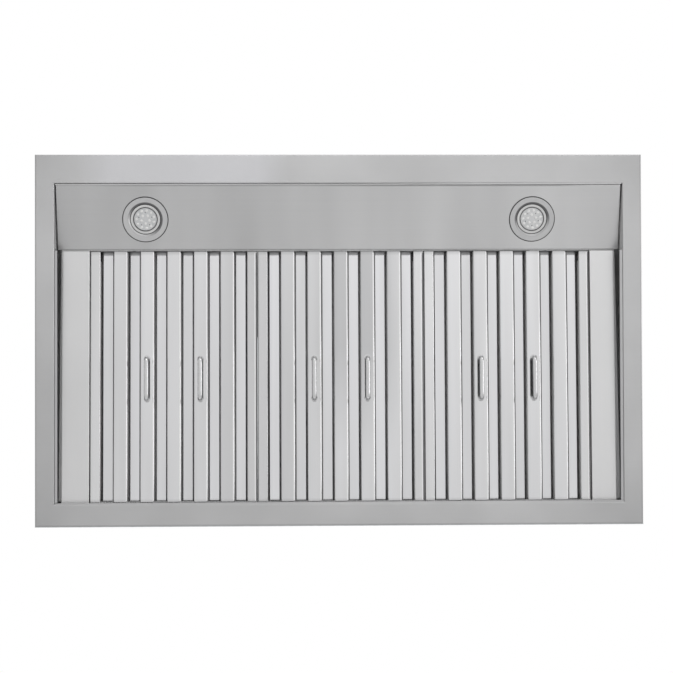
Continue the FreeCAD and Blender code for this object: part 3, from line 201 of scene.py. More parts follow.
floor_finish, floor_shader = new_finish("pale_floor")
floor_shader.inputs["Roughness"].default_value = FLOOR_ROUGHNESS
floor_tree = floor_finish.node_tree
floor_noise = add_node(floor_tree, "ShaderNodeTexNoise",
                       {"Vector": own_vector(floor_finish), "Scale": 0.6, "Detail": 2.0})
floor_colour = mixed(floor_finish, floor_noise.outputs["Fac"], FLOOR_DARK, FLOOR_PALE)
floor_tree.links.new(floor_colour, floor_shader.inputs["Base Color"])

shape = bmesh.new()
bmesh.ops.create_grid(shape, x_segments=1, y_segments=1, size=FLOOR_SIZE / 2)
bmesh.ops.translate(shape, verts=shape.verts, vec=(0, 0, FLOOR_Z))
floor_mesh = bpy.data.meshes.new("studio_floor")
shape.to_mesh(floor_mesh)
shape.free()
floor_mesh.materials.append(floor_finish)
floor = bpy.data.objects.new("studio_floor", floor_mesh)
scene.collection.objects.link(floor)
print("floor at z =", FLOOR_Z)

# %% [markdown]
# ## Soft lamps
# Large area lamps give soft light without hard shadows. One hangs in front on the right, one on the left,
# and one shines on the floor in front of the hood, so that the steel that reflects the floor is a little
# brighter towards the front, as it is in the picture. The first two don't show in mirrors, where they would
# be glaring. A low one on the right draws the white lines along the bends of the filter strips. A very weak
# one inside the canopy stands for the light that many bounces between the sheets would bring there, so the
# slots of the filters aren't quite black.

# %% Soft lamps
TARGET = Vector((0.0, -0.28, 0.2))


def soft_lamp(name, place, aim, size, power, mirrored=True):
    """A square area lamp at a place, turned towards a point. It can be kept out of mirrors."""
    data = bpy.data.lights.new(name, "AREA")
    data.size = size
    data.energy = power
    lamp = bpy.data.objects.new(name, data)
    lamp.location = place
    lamp.rotation_euler = (Vector(aim) - Vector(place)).to_track_quat("-Z", "Y").to_euler()
    lamp.visible_camera = False
    lamp.visible_glossy = mirrored
    scene.collection.objects.link(lamp)


soft_lamp("lamp_front_right", (2.2, -3.0, 2.0), TARGET, 1.8, 60, mirrored=False)
soft_lamp("lamp_left", (-2.6, -1.8, 1.2), TARGET, 1.6, 30, mirrored=False)
soft_lamp("lamp_on_floor", (0.9, -3.2, -1.6), (0.4, -1.6, FLOOR_Z), 2.2, 60)
soft_lamp("lamp_low_right", (2.4, -0.5, -0.7), (0.2, -0.28, 0.02), 0.9, 6)
soft_lamp("lamp_inside", (0.0, -0.25, 0.075), (0.0, -0.25, 0.3), 0.4, 0.8)
print("five soft lamps")

# %% [markdown]
# ## Shared effects
# Brushed grain, slow changes of tone and zinc spangle come back in several finishes, so each is a node
# group with named sockets. A group gives values only. Each material mixes them with its own colours.

# %% Node groups


def new_group(name, inputs, outputs):
    """An empty shader node group with its sockets, and its two end nodes."""
    tree = bpy.data.node_groups.new(name, "ShaderNodeTree")
    for label, kind in inputs:
        tree.interface.new_socket(name=label, in_out="INPUT", socket_type=kind)
    for label, kind in outputs:
        tree.interface.new_socket(name=label, in_out="OUTPUT", socket_type=kind)
    return tree, tree.nodes.new("NodeGroupInput"), tree.nodes.new("NodeGroupOutput")


VECTOR = "NodeSocketVector"
FLOAT = "NodeSocketFloat"

# Fine scratches that run one way: the vector comes in stretched, so round noise becomes streaks.
grain_group, source, result = new_group(
    "brushed_grain", [("Vector", VECTOR), ("Coarse", FLOAT)], [("Streaks", FLOAT)])
vector = source.outputs["Vector"]
fine = add_node(grain_group, "ShaderNodeTexNoise",
                {"Vector": vector, "Scale": 1.0, "Detail": 3.0, "Roughness": 0.6})
wide = add_node(grain_group, "ShaderNodeTexNoise", {"Vector": vector, "Scale": 0.22, "Detail": 2.0})
both = add_node(grain_group, "ShaderNodeMix",
                {0: source.outputs["Coarse"], 2: fine.outputs["Fac"], 3: wide.outputs["Fac"]},
                data_type="FLOAT")
grain_group.links.new(both.outputs[0], result.inputs["Streaks"])

# Slow clouds of tone, as on sheet that was rolled, wiped and handled.
drift_group, source, result = new_group("tone_drift", [("Vector", VECTOR)], [("Clouds", FLOAT)])
cloud = add_node(drift_group, "ShaderNodeTexNoise",
                 {"Vector": source.outputs["Vector"], "Scale": 1.0, "Detail": 2.0, "Roughness": 0.5})
spread = add_node(drift_group, "ShaderNodeMapRange",
                  {"Value": cloud.outputs["Fac"], "From Min": 0.3, "From Max": 0.7})
drift_group.links.new(spread.outputs[0], result.inputs["Clouds"])

# Zinc crystals: each Voronoi cell has its own tone.
spangle_group, source, result = new_group("zinc_spangle", [("Vector", VECTOR)], [("Crystals", FLOAT)])
cells = add_node(spangle_group, "ShaderNodeTexVoronoi",
                 {"Vector": source.outputs["Vector"], "Scale": 1.0, "Randomness": 1.0})
tone = add_node(spangle_group, "ShaderNodeSeparateColor", {"Color": cells.outputs["Color"]})
spangle_group.links.new(tone.outputs["Red"], result.inputs["Crystals"])
print("groups:", grain_group.name, drift_group.name, spangle_group.name)

# %% [markdown]
# ## A recipe for sheet metal
# Every metal here is the same recipe: a dark and a pale tone mixed by clouds and streaks, a roughness
# that follows the streaks, and a very shallow bump. The stretch of the pattern sets which way the grain
# runs. A rise is painted light: the tone gets paler along one axis, where the sheet would be lit more. The
# numbers make it rim steel, filter sheet, wire or zinc.

# %% Metal recipe
COARSE_SHARE = 0.4
STREAK_RANGE = (0.25, 0.75)
METAL_RELIEF = 0.0004


def pattern(material, group, stretch):
    """A node group that is fed with stretched object coordinates."""
    tree = material.node_tree
    place = add_node(tree, "ShaderNodeTexCoord").outputs["Object"]
    mapping = add_node(tree, "ShaderNodeMapping", {"Vector": place, "Scale": stretch})
    return add_node(tree, "ShaderNodeGroup", {"Vector": mapping.outputs["Vector"]}, node_tree=group)


def emboss(material, shader, height, strength, distance):
    """A shallow bump."""
    relief = add_node(material.node_tree, "ShaderNodeBump",
                      {"Height": height, "Strength": strength, "Distance": distance})
    material.node_tree.links.new(relief.outputs["Normal"], shader.inputs["Normal"])


def metal(name, dark, pale, rough, grain, clouds, streak_share=0.35, bump=0.04, rise=None):
    """A metal: two tones, a range of roughness, the stretches of its grain and its clouds, and a rise of
    painted light.
    """
    material, shader = new_finish(name, metallic=1.0)
    tree = material.node_tree
    grain_node = pattern(material, grain_group, grain)
    grain_node.inputs["Coarse"].default_value = COARSE_SHARE
    streaks = grain_node.outputs["Streaks"]
    cloud_tone = pattern(material, drift_group, clouds).outputs["Clouds"]
    share = add_node(tree, "ShaderNodeMix", {0: streak_share, 2: cloud_tone, 3: streaks}, data_type="FLOAT")
    tone = share.outputs[0]
    # A rise is painted light: the tone gets paler along one axis, as if that end of the sheet were lit more.
    if rise:
        axis, start, end, painted_light_gain = rise
        ramp = fade(material, own_axes(material)[axis], start, end, -painted_light_gain, painted_light_gain)
        tone = joined(material, "ADD", tone, ramp, clamp=True)
    tree.links.new(mixed(material, tone, dark, pale), shader.inputs["Base Color"])
    tree.links.new(fade(material, streaks, *STREAK_RANGE, *rough), shader.inputs["Roughness"])
    emboss(material, shader, streaks, bump, METAL_RELIEF)
    return material


ALONG_X = (3.0, 700.0, 700.0)
ALONG_Y = (700.0, 3.0, 700.0)
ALONG_Z = (700.0, 700.0, 3.0)
ALL_WAYS = (400.0, 400.0, 400.0)
EVEN_CLOUDS = (3.0, 3.0, 3.0)

# Painted light: the rim is paler towards the front, and the panel is paler towards the right.
rim_steel = metal("rim_steel", grey(0.475, 0.001), grey(0.60, 0.002), (0.28, 0.40),
                  ALONG_X, (6.0, 6.0, 4.0), rise=("Y", 0.0, -0.56, 0.08))
panel_steel = metal("panel_steel", grey(0.52, 0.002), grey(0.68, 0.002), (0.26, 0.38),
                    ALONG_X, (9.0, 1.5, 1.5), rise=("X", -0.43, 0.43, 0.35))
SHEET_GRAINS = {"side_sheet_steel": ALONG_Y, "front_sheet_steel": ALONG_X, "chimney_steel": ALONG_Z}
side_sheet_steel, front_sheet_steel, chimney_steel = (
    metal(name, grey(0.53), grey(0.61), (0.28, 0.40), grain, EVEN_CLOUDS)
    for name, grain in SHEET_GRAINS.items())
lower_baffle_steel, upper_baffle_steel = (
    metal(name, dark, pale, (0.06, 0.11), ALONG_Y, (24.0, 1.6, 1.6), streak_share=0.25, bump=0.01)
    for name, dark, pale in (("lower_baffle_steel", grey(0.66, 0.002), grey(0.79, 0.01)),
                             ("upper_baffle_steel", grey(0.66, 0.005), grey(0.79, 0.015))))
filter_rail_steel = metal("filter_rail_steel", grey(0.64), grey(0.78, 0.005), (0.14, 0.24),
                          ALONG_Y, (20.0, 2.0, 2.0), streak_share=0.3, bump=0.02)
handle_chrome = metal("handle_chrome", grey(0.62, 0.005), grey(0.70, 0.005), (0.22, 0.30),
                      ALONG_Y, (60.0, 20.0, 60.0), bump=0.01)
button_steel = metal("button_steel", grey(0.60), grey(0.70), (0.24, 0.34),
                     ALONG_X, (60.0, 60.0, 60.0))
screw_zinc = metal("screw_zinc", grey(0.44, 0.01), grey(0.56), (0.25, 0.40),
                   ALL_WAYS, (90.0, 90.0, 90.0))
lamp_aluminium = metal("lamp_aluminium", grey(0.68), grey(0.80, -0.01), (0.38, 0.52),
                       ALL_WAYS, (50.0, 50.0, 50.0))
print("metals made")

# %% [markdown]
# ## Zinc coated sheet
# The roof plate, the blower and the brackets are hot dip zinc sheet. Its crystals are flat patches of
# slightly different tone, a few millimetres to a centimetre wide. A Voronoi pattern has that shape.

# %% Zinc coated sheet
SPANGLE = (130.0, 130.0, 130.0)
ZINC_DARK = (0.46, 0.48, 0.49)
ZINC_PALE = (0.60, 0.62, 0.63)
ZINC_ROUGH = (0.30, 0.50)

zinc_sheet, zinc_shader = new_finish("zinc_sheet", metallic=1.0)
crystals = pattern(zinc_sheet, spangle_group, SPANGLE).outputs["Crystals"]
zinc_links = zinc_sheet.node_tree.links
zinc_links.new(mixed(zinc_sheet, crystals, ZINC_DARK, ZINC_PALE), zinc_shader.inputs["Base Color"])
zinc_links.new(fade(zinc_sheet, crystals, 0.0, 1.0, *ZINC_ROUGH), zinc_shader.inputs["Roughness"])
print("zinc sheet made")

# %% [markdown]
# ## Paint and plastics
# The motor is painted, and the switch box, the lamp driver and the cable gland are moulded plastic. Both
# are a colour with slow clouds and a fine grain in the bump. Only colours and scales differ.

# %% Paint and plastics
COATED_CLOUDS = (25.0, 25.0, 25.0)
COATED_RELIEF = 0.0003


def coated(name, dark, pale, rough, grain_size, bump):
    """A paint or a plastic: two close tones, and a fine grain in the bump."""
    material, shader = new_finish(name)
    links = material.node_tree.links
    clouds = pattern(material, drift_group, COATED_CLOUDS).outputs["Clouds"]
    grain = pattern(material, grain_group, (grain_size, grain_size, grain_size)).outputs["Streaks"]
    links.new(mixed(material, clouds, dark, pale), shader.inputs["Base Color"])
    links.new(fade(material, clouds, 0.0, 1.0, *rough), shader.inputs["Roughness"])
    emboss(material, shader, grain, bump, COATED_RELIEF)
    return material


motor_paint = coated("motor_paint", grey(0.030, 0.002), grey(0.045, 0.003), (0.35, 0.5), 500.0, 0.15)
black_plastic = coated("black_plastic", grey(0.018, 0.001), grey(0.028, 0.002), (0.45, 0.6), 1500.0, 0.3)
capacitor_can = coated("capacitor_can", grey(0.62, -0.02), grey(0.70, -0.02), (0.3, 0.4), 900.0, 0.05)
lens_plastic = coated("lens_plastic", (0.58, 0.59, 0.60), grey(0.70), (0.12, 0.2), 300.0, 0.1)
print("paint and plastics made")

# %% [markdown]
# ## Marks on a piece
# Some tones belong to a place on a piece: the end of a strip, the fold of a panel, the back of a wire. A mask
# mixes a second value into the colour, the roughness or the metal share there.

# %% Marks on a piece


def tint(material, mask, colour):
    """Mixes another colour into a material where a mask says so."""
    target = material.node_tree.nodes["Principled BSDF"].inputs["Base Color"]
    mix = mixed(material, mask, target.links[0].from_socket, colour)
    material.node_tree.links.new(mix, target)


def steer(material, name, mask, value):
    """Mixes another value into a shader input where a mask says so."""
    tree = material.node_tree
    target = tree.nodes["Principled BSDF"].inputs[name]
    before = target.links[0].from_socket if target.links else target.default_value
    mix = add_node(tree, "ShaderNodeMix", {0: mask, 2: before, 3: value}, data_type="FLOAT")
    tree.links.new(mix.outputs[0], target)


print("helpers for marks ready")

# %% [markdown]
# ## Filter strips and handles
# The strips' faces are bright rolled sheet, almost a mirror. Their folded sides are dull and scatter the
# light, so they look grey next to the black slot. The ends near the panel and the rear ledge get painted
# shade, and a painted dark reflection greys the strips round two places where the picture has them darker.
# The handles are wire. The half that faces the strip is painted with shade, and so is the wire's rear end.
# The picture shows the dark half as a second line beside the wire, because the strip mirrors it.

# %% Filter strips and handles
FILTER_PIVOT = (0.0, -0.034, 0.0146)
FILTER_SLANT = math.radians(-1.908)
FILTER_FRONT = -0.3814
FRONT_MEMBER = -0.3806
LOWER_FOLD = 0.0008
UPPER_FOLD = 0.0188
FOLD_LENGTH = 0.0006
END_SHADE = 0.007
WIRE_BACK = -0.0154
WIRE_MIDDLE = -0.1876
WIRE_STRAIGHT = 0.027
WIRE_TIP = -0.1545
# Where a painted dark reflection greys the strips, and how far it reaches.
DIM_MIDDLE = (0.024, 0.0, 0.0)
DIM_REACH = 0.075
DIM_JOINT = (-0.125, 0.0, 0.0)
JOINT_REACH = 0.09
DIM_FRONT = -0.27
DIM_REAR = -0.11
SHADE_GREY = grey(0.22, 0.002)
SIDE_GREY = grey(0.52)
SIDE_METAL = 0.15
SIDE_ROUGHNESS = 0.6
MIDDLE_DIMMING = (0.38, 0.1)
JOINT_DIMMING = (0.2, 0.8)
END_STRENGTH = 0.45
MEMBER_STRENGTH = 0.9
PAINTED_SHADOW_GREY = grey(0.06, 0.002)
WIRE_SHADE_GREY = grey(0.13, 0.002)
WIRE_EDGE = 0.0006
WIRE_BLEND = 0.004
TIP_BLEND = 0.003
TIP_STRENGTH = 0.6


def shade_ends(material, strength):
    """Paints shade on a strip towards its front and rear ends."""
    along = own_axes(material, FILTER_PIVOT, FILTER_SLANT)["Y"]
    front = fade(material, along, FILTER_FRONT, FILTER_FRONT + END_SHADE, strength, 0.0)
    rear = fade(material, along, -END_SHADE, 0.0, 0.0, strength)
    tint(material, joined(material, "MAXIMUM", front, rear), SHADE_GREY)


def dull_sides(material, start):
    """Makes a strip matt grey where its sheet is folded up."""
    height = own_axes(material, FILTER_PIVOT, FILTER_SLANT)["Z"]
    mask = fade(material, height, start, start + FOLD_LENGTH)
    tint(material, mask, SIDE_GREY)
    steer(material, "Metallic", mask, SIDE_METAL)
    steer(material, "Roughness", mask, SIDE_ROUGHNESS)


def paint_dark_reflection(material, middle, reach, strength, rear_share):
    """Paints a dark reflection that greys the strips round one place, less so towards the wall."""
    axes = own_axes(material, middle)
    across = joined(material, "ABSOLUTE", axes["X"])
    near = fade(material, across, reach / 2, reach, strength, 0.0)
    front = fade(material, axes["Y"], DIM_FRONT, DIM_REAR, 1.0, rear_share)
    tint(material, joined(material, "MULTIPLY", near, front), SHADE_GREY)


# Painted dark reflections grey the strips round the middle and round the joint.
for strip_steel in (lower_baffle_steel, filter_rail_steel):
    paint_dark_reflection(strip_steel, DIM_MIDDLE, DIM_REACH, *MIDDLE_DIMMING)
    paint_dark_reflection(strip_steel, DIM_JOINT, JOINT_REACH, *JOINT_DIMMING)
    dull_sides(strip_steel, LOWER_FOLD)
dull_sides(upper_baffle_steel, UPPER_FOLD)
# Painted shade on the strips' front and rear ends.
for strip_steel in (lower_baffle_steel, upper_baffle_steel, filter_rail_steel):
    shade_ends(strip_steel, END_STRENGTH)

# Painted shadow: the frame's front member is darkened where it lies under the panel's edge.
rail_along = own_axes(filter_rail_steel, FILTER_PIVOT, FILTER_SLANT)["Y"]
member_end = FRONT_MEMBER + FOLD_LENGTH
front_member = fade(filter_rail_steel, rail_along, FRONT_MEMBER, member_end, MEMBER_STRENGTH, 0.0)
tint(filter_rail_steel, front_member, PAINTED_SHADOW_GREY)

# Painted shade: the back half of each wire's straight part is darkened, where it faces the strip.
wire_axes = own_axes(handle_chrome, FILTER_PIVOT, FILTER_SLANT)
wire_start = WIRE_MIDDLE - WIRE_STRAIGHT
wire_end = WIRE_MIDDLE + WIRE_STRAIGHT
wire_back = fade(handle_chrome, wire_axes["Z"], WIRE_BACK - WIRE_EDGE, WIRE_BACK)
past_start = fade(handle_chrome, wire_axes["Y"], wire_start - WIRE_BLEND, wire_start)
before_end = fade(handle_chrome, wire_axes["Y"], wire_end, wire_end + WIRE_BLEND, 1.0, 0.0)
wire_straight = joined(handle_chrome, "MINIMUM", past_start, before_end)
tint(handle_chrome, joined(handle_chrome, "MULTIPLY", wire_back, wire_straight), WIRE_SHADE_GREY)
# Painted shade at the wire's rear end.
wire_tip = fade(handle_chrome, wire_axes["Y"], WIRE_TIP, WIRE_TIP + TIP_BLEND, 0.0, TIP_STRENGTH)
tint(handle_chrome, wire_tip, WIRE_SHADE_GREY)
print("strips shaded at their ends and sides, wires at their backs")

# %% [markdown]
# ## Folds of the panel, the fillers and the rim
# The light panel has a narrow flat lip before it slopes, and the fold is painted as a fine line of shade,
# clearest on the right. The fillers' outer edges are rolled up and get a band of painted shade there. The
# picture shows a pale, faintly blue patch on the left of the front rim, which is a painted reflection here,
# and corners and outer edges that are a little darker, which are painted shade.

# %% Folds of the panel, the fillers and the rim
PANEL_FOLD = -0.5116
FOLD_LINE = 0.0007
FOLD_FADE = 0.05
FOLD_END = 0.38
FILLER_EDGE = 0.4209
FILLER_BAND = 0.0042
ROLL_FRONT = -0.4130
ROLL_REAR = -0.0380
ROLL_WIDTH = {"left": 0.0034, "right": 0.0050}
PATCH_PLACE = (-0.235, -0.537, 0.0)
PATCH_REACH = 0.16
PATCH_DEPTH = 0.025
CORNER_MIDDLE = (0.02, -0.285, 0.0)
REAR_EDGE = -0.0015
SIDE_EDGE = 0.4562
EDGE_WIDTH = 0.0022
FOLD_STRENGTH = (0.3, 0.7)
BAND_STRENGTH = 0.22
BAND_ROUGHNESS = 0.8
BLEND_SHARE = 0.7
PATCH_STRENGTH = 0.65
PAINTED_REFLECTION_TONE = grey(0.66, 0.02)
CORNER_SIDES = (0.36, 0.46)
CORNER_ENDS = (0.16, 0.28)
CORNER_STRENGTH = (0.05, 0.26)
REAR_STRENGTH = 0.5
SIDE_STRENGTH = 0.4

# Painted shade: a fine dark line along the panel's fold, stronger towards the right.
panel_axes = own_axes(panel_steel)
line_start = fade(panel_steel, panel_axes["Y"], PANEL_FOLD - 2 * FOLD_LINE, PANEL_FOLD - FOLD_LINE)
line_end = fade(panel_steel, panel_axes["Y"], PANEL_FOLD, PANEL_FOLD + FOLD_LINE, 1.0, 0.0)
line_right = fade(panel_steel, panel_axes["X"], -FOLD_FADE, FOLD_FADE, *FOLD_STRENGTH)
line_across = joined(panel_steel, "ABSOLUTE", panel_axes["X"])
line_inside = fade(panel_steel, line_across, FOLD_END - FOLD_FADE, FOLD_END, 1.0, 0.0)
line_strength = joined(panel_steel, "MULTIPLY", line_right, line_inside)
fold_line = joined(panel_steel, "MINIMUM", line_start, line_end)
tint(panel_steel, joined(panel_steel, "MULTIPLY", fold_line, line_strength), SHADE_GREY)


def filler_finish(side):
    """Sheet steel with a band of painted shade along its outer edge, which slants with the roll."""
    material = metal("filler_steel_" + side, grey(0.65), grey(0.75), (0.28, 0.38),
                     ALONG_Y, EVEN_CLOUDS)
    axes = own_axes(material)
    widening = fade(material, axes["Y"], ROLL_FRONT, ROLL_REAR, 0.0, -ROLL_WIDTH[side])
    from_middle = joined(material, "ADD", joined(material, "ABSOLUTE", axes["X"]), widening)
    band_start = FILLER_EDGE - FILLER_BAND
    band_full = FILLER_EDGE - FILLER_BAND * BLEND_SHARE
    # Painted shade in a band along the rolled outer edge, which is also rougher there.
    painted_shade_band = fade(material, from_middle, band_start, band_full, 0.0, BAND_STRENGTH)
    tint(material, painted_shade_band, SHADE_GREY)
    steer(material, "Roughness", painted_shade_band, BAND_ROUGHNESS)
    return material


filler_steel = {side: filler_finish(side) for side in SIDES}

# Painted reflection: a pale, faintly blue patch on the left of the front rim.
rim_across = own_axes(rim_steel, PATCH_PLACE)
patch_span = joined(rim_steel, "ABSOLUTE", rim_across["X"])
patch_side = fade(rim_steel, patch_span, PATCH_REACH * BLEND_SHARE, PATCH_REACH, PATCH_STRENGTH, 0.0)
patch_front = fade(rim_steel, rim_across["Y"], PATCH_DEPTH * BLEND_SHARE, PATCH_DEPTH, 1.0, 0.0)
tint(rim_steel, joined(rim_steel, "MULTIPLY", patch_side, patch_front), PAINTED_REFLECTION_TONE)

# Painted shade: the rim is darkened towards its corners.
from_corner = own_axes(rim_steel, CORNER_MIDDLE)
corner_side = fade(rim_steel, joined(rim_steel, "ABSOLUTE", from_corner["X"]), *CORNER_SIDES)
corner_depth = joined(rim_steel, "ABSOLUTE", from_corner["Y"])
corner_end = fade(rim_steel, corner_depth, *CORNER_ENDS, *CORNER_STRENGTH)
tint(rim_steel, joined(rim_steel, "MULTIPLY", corner_side, corner_end), SHADE_GREY)

# Painted shade: a dark band along the rim's rear and side edges.
rim_axes = own_axes(rim_steel)
rear_edge = fade(rim_steel, rim_axes["Y"], REAR_EDGE - EDGE_WIDTH, REAR_EDGE, 0.0, REAR_STRENGTH)
rim_side = joined(rim_steel, "ABSOLUTE", rim_axes["X"])
side_edge = fade(rim_steel, rim_side, SIDE_EDGE - EDGE_WIDTH, SIDE_EDGE, 0.0, SIDE_STRENGTH)
tint(rim_steel, joined(rim_steel, "MAXIMUM", rear_edge, side_edge), SHADE_GREY)
print("folds and patch marked")

# %% [markdown]
# ## Lamp bezels
# A lamp's bezel is a steel ring that was turned on a lathe, so it has fine round lines, and its throat
# leads up to the lens. The throat gets painted shade, least on the side towards the wall. The lamps sit on
# the slanted panel, so a Mapping node moves the pattern to the lamp and tilts it. The distance from the
# lamp's axis then tells the ring from the throat.

# %% Lamp bezels
PANEL_RISE = 0.0257
PANEL_RUN = 0.0979
PANEL_SLANT = math.atan2(PANEL_RISE, PANEL_RUN)
THROAT_EDGE = 0.0266
THROAT_BLEND = 0.0004
THROAT_SHADE_GREY = grey(0.13, 0.003)
DARK_TURN = (-0.6, 0.1)
DARK_STRENGTH = (0.12, 0.85)
TURNED_LINE = 0.0019
LINE_STRENGTH = 0.12
LINE_GREY = grey(0.40, 0.005)
DARK_WAY = {"left": (0.60, -0.80, 0.0), "right": (-0.15, -0.99, 0.0)}


def lamp_centre(side):
    """The middle of a lamp's lens."""
    low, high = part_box("lamp_lens_" + side)
    return (low + high) / 2


def vector_math(material, operation, vector, other=(0.0, 0.0, 0.0)):
    """The sockets of a vector result, such as a length or a direction."""
    return add_node(material.node_tree, "ShaderNodeVectorMath", {0: vector, 1: other},
                    operation=operation).outputs


def bezel_finish(side):
    """Turned steel with painted shade in its throat, darkest towards one way."""
    material = metal("bezel_steel_" + side, grey(0.58, 0.005), grey(0.66), (0.44, 0.55),
                     ALL_WAYS, (30.0, 30.0, 30.0), bump=0.02)
    centred = own_vector(material, lamp_centre(side), PANEL_SLANT)
    flat = vector_math(material, "MULTIPLY", centred, (1.0, 1.0, 0.0))["Vector"]
    radius = vector_math(material, "LENGTH", flat)["Value"]
    outward = vector_math(material, "NORMALIZE", flat)["Vector"]
    facing = vector_math(material, "DOT_PRODUCT", outward, DARK_WAY[side])["Value"]
    wave = joined(material, "SINE", joined(material, "MULTIPLY", radius, 2 * math.pi / TURNED_LINE))
    tint(material, fade(material, wave, -1.0, 1.0, 0.0, LINE_STRENGTH), LINE_GREY)
    # Painted shade in the throat, strongest on the side away from the wall.
    dark_side = fade(material, facing, *DARK_TURN, *DARK_STRENGTH)
    throat = fade(material, radius, THROAT_EDGE - THROAT_BLEND, THROAT_EDGE, 1.0, 0.0)
    tint(material, joined(material, "MULTIPLY", dark_side, throat), THROAT_SHADE_GREY)
    return material


bezel_steel = {side: bezel_finish(side) for side in SIDES}
print("bezel finishes:", [material.name for material in bezel_steel.values()])

# %% [markdown]
# ## Dress the model
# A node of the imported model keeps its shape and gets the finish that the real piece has. Sheets whose
# grain runs another way get their own version of the steel.

# %% Dress the model
FINISHES = {
    rim_steel: ["base_frame"],
    panel_steel: ["light_panel"],
    front_sheet_steel: ["canopy_front"],
    side_sheet_steel: ["canopy_left", "canopy_right"],
    filler_steel["left"]: ["side_filler_left"],
    filler_steel["right"]: ["side_filler_right"],
    chimney_steel: ["chimney_lower", "chimney_upper"],
    lamp_aluminium: ["lamp_body_left", "lamp_body_right"],
    lens_plastic: ["lamp_lens_left", "lamp_lens_right"],
    motor_paint: ["blower_motor"],
    black_plastic: ["switch_box", "lamp_driver", "cable_gland"],
    capacitor_can: ["run_capacitor"],
    screw_zinc: ["lamp_clips", "filter_catches", "motor_shaft", "housing_screws", "chimney_screws"],
}
FILTER_FINISHES = {"_frame": filter_rail_steel, "_lower_baffles": lower_baffle_steel,
                   "_upper_baffles": upper_baffle_steel, "_handles": handle_chrome}
finish_of = {name: finish for finish, names in FINISHES.items() for name in names}
for name, node in nodes.items():
    finish = finish_of.get(name, zinc_sheet)
    if name.startswith("button_"):
        finish = button_steel
    if name.startswith("lamp_bezel_"):
        finish = bezel_steel[name.removeprefix("lamp_bezel_")]
    for ending, filter_finish in FILTER_FINISHES.items():
        if name.startswith("filter_") and name.endswith(ending):
            finish = filter_finish
    node.data.materials.clear()
    node.data.materials.append(finish)
print("dressed", len(nodes), "nodes")

# %% [markdown]
# ## Lamp lenses
# Behind each bezel a frosted plastic disc spreads the light. A small dome is moulded over each light
# chip, in two circles, and a few dark pins hold the disc. The disc is a circle that is extruded and
# bevelled, and the domes are flattened spheres let into its face.

# %% Lamp lenses
LENS_RADIUS = 0.0172
LENS_FACE = -0.00125
LENS_BACK = 0.0010
LENS_EDGE = 0.0006
DOME_RADIUS = 0.0021
DOME_FLATNESS = 0.4
DOME_CIRCLES = ((0.0134, 11), (0.0064, 5))
PIN_RADIUS = 0.0007
PIN_CIRCLE = 0.0102
PIN_COUNT = 5
FIRST_TURNS = {"left": 0.3, "right": 0.9}
SHARP_ANGLE = math.radians(35)

# Painted highlight: the domes' plastic is paler than the disc's, for the shine of each dome.
lens_dome = coated("lens_dome", grey(0.80, -0.01), grey(0.92, -0.01), (0.10, 0.16), 400.0, 0.05)


def new_verts(grown):
    """The corners that an extrusion made."""
    return [item for item in grown["geom"] if isinstance(item, bmesh.types.BMVert)]


def turn_outwards(shape):
    """Turns all faces of a shape outwards."""
    bmesh.ops.recalc_face_normals(shape, faces=shape.faces[:])


def thicken(shape, thickness):
    """Gives a sheet its thickness."""
    bmesh.ops.solidify(shape, geom=shape.faces[:], thickness=thickness)
    turn_outwards(shape)


def add_piece(name, shape, place, *materials):
    """Puts a finished bmesh into the scene, with its place in the mesh and its sharp edges kept."""
    bmesh.ops.transform(shape, matrix=place, verts=shape.verts)
    mesh = bpy.data.meshes.new(name)
    shape.to_mesh(mesh)
    shape.free()
    for material in materials:
        mesh.materials.append(material)
    mesh.shade_smooth()
    mesh.set_sharp_from_angle(angle=SHARP_ANGLE)
    piece = bpy.data.objects.new(name, mesh)
    scene.collection.objects.link(piece)
    return piece


def lamp_frame(side):
    """The lamp's own frame: the origin in the lens, and -Z out of the panel."""
    return Matrix.Translation(lamp_centre(side)) @ Matrix.Rotation(PANEL_SLANT, 4, "X")


def paint(made, index):
    """Gives the faces of a shape that was just made a material of their own."""
    for vert in made["verts"]:
        for face in vert.link_faces:
            face.material_index = index


def lens_shape(first_turn):
    """The disc with its domes and pins, in the lamp's frame."""
    shape = bmesh.new()
    bmesh.ops.create_circle(shape, cap_ends=True, segments=96, radius=LENS_RADIUS,
                            matrix=Matrix.Translation((0, 0, LENS_BACK)))
    grown = bmesh.ops.extrude_face_region(shape, geom=shape.faces[:])
    front = new_verts(grown)
    bmesh.ops.translate(shape, verts=front, vec=(0, 0, LENS_FACE - LENS_BACK))
    rim = [edge for edge in shape.edges if all(vert in front for vert in edge.verts)]
    bmesh.ops.bevel(shape, geom=rim, offset=LENS_EDGE, segments=3, profile=0.5, affect="EDGES", material=-1)
    turn_outwards(shape)
    flat = Matrix.Diagonal((1.0, 1.0, DOME_FLATNESS, 1.0))
    for circle, count in DOME_CIRCLES:
        for index in range(count):
            turn = first_turn + 2 * math.pi * index / count
            spot = Matrix.Translation((circle * math.cos(turn), circle * math.sin(turn), LENS_FACE))
            paint(bmesh.ops.create_uvsphere(shape, u_segments=20, v_segments=10, radius=DOME_RADIUS,
                                            matrix=spot @ flat), 1)
    for index in range(PIN_COUNT):
        turn = first_turn + 2 * math.pi * (index + 0.5) / PIN_COUNT
        spot = Matrix.Translation((PIN_CIRCLE * math.cos(turn), PIN_CIRCLE * math.sin(turn), LENS_FACE))
        paint(bmesh.ops.create_uvsphere(shape, u_segments=12, v_segments=8, radius=PIN_RADIUS,
                                        matrix=spot @ flat), 2)
    return shape


for side, first_turn in FIRST_TURNS.items():
    lens = add_piece("lens_with_domes_" + side, lens_shape(first_turn), lamp_frame(side),
                     lens_plastic, lens_dome, black_plastic)
    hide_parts("lamp_lens_" + side)
    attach(lens, "hood")
    print(lens.name, len(lens.data.polygons), "faces")

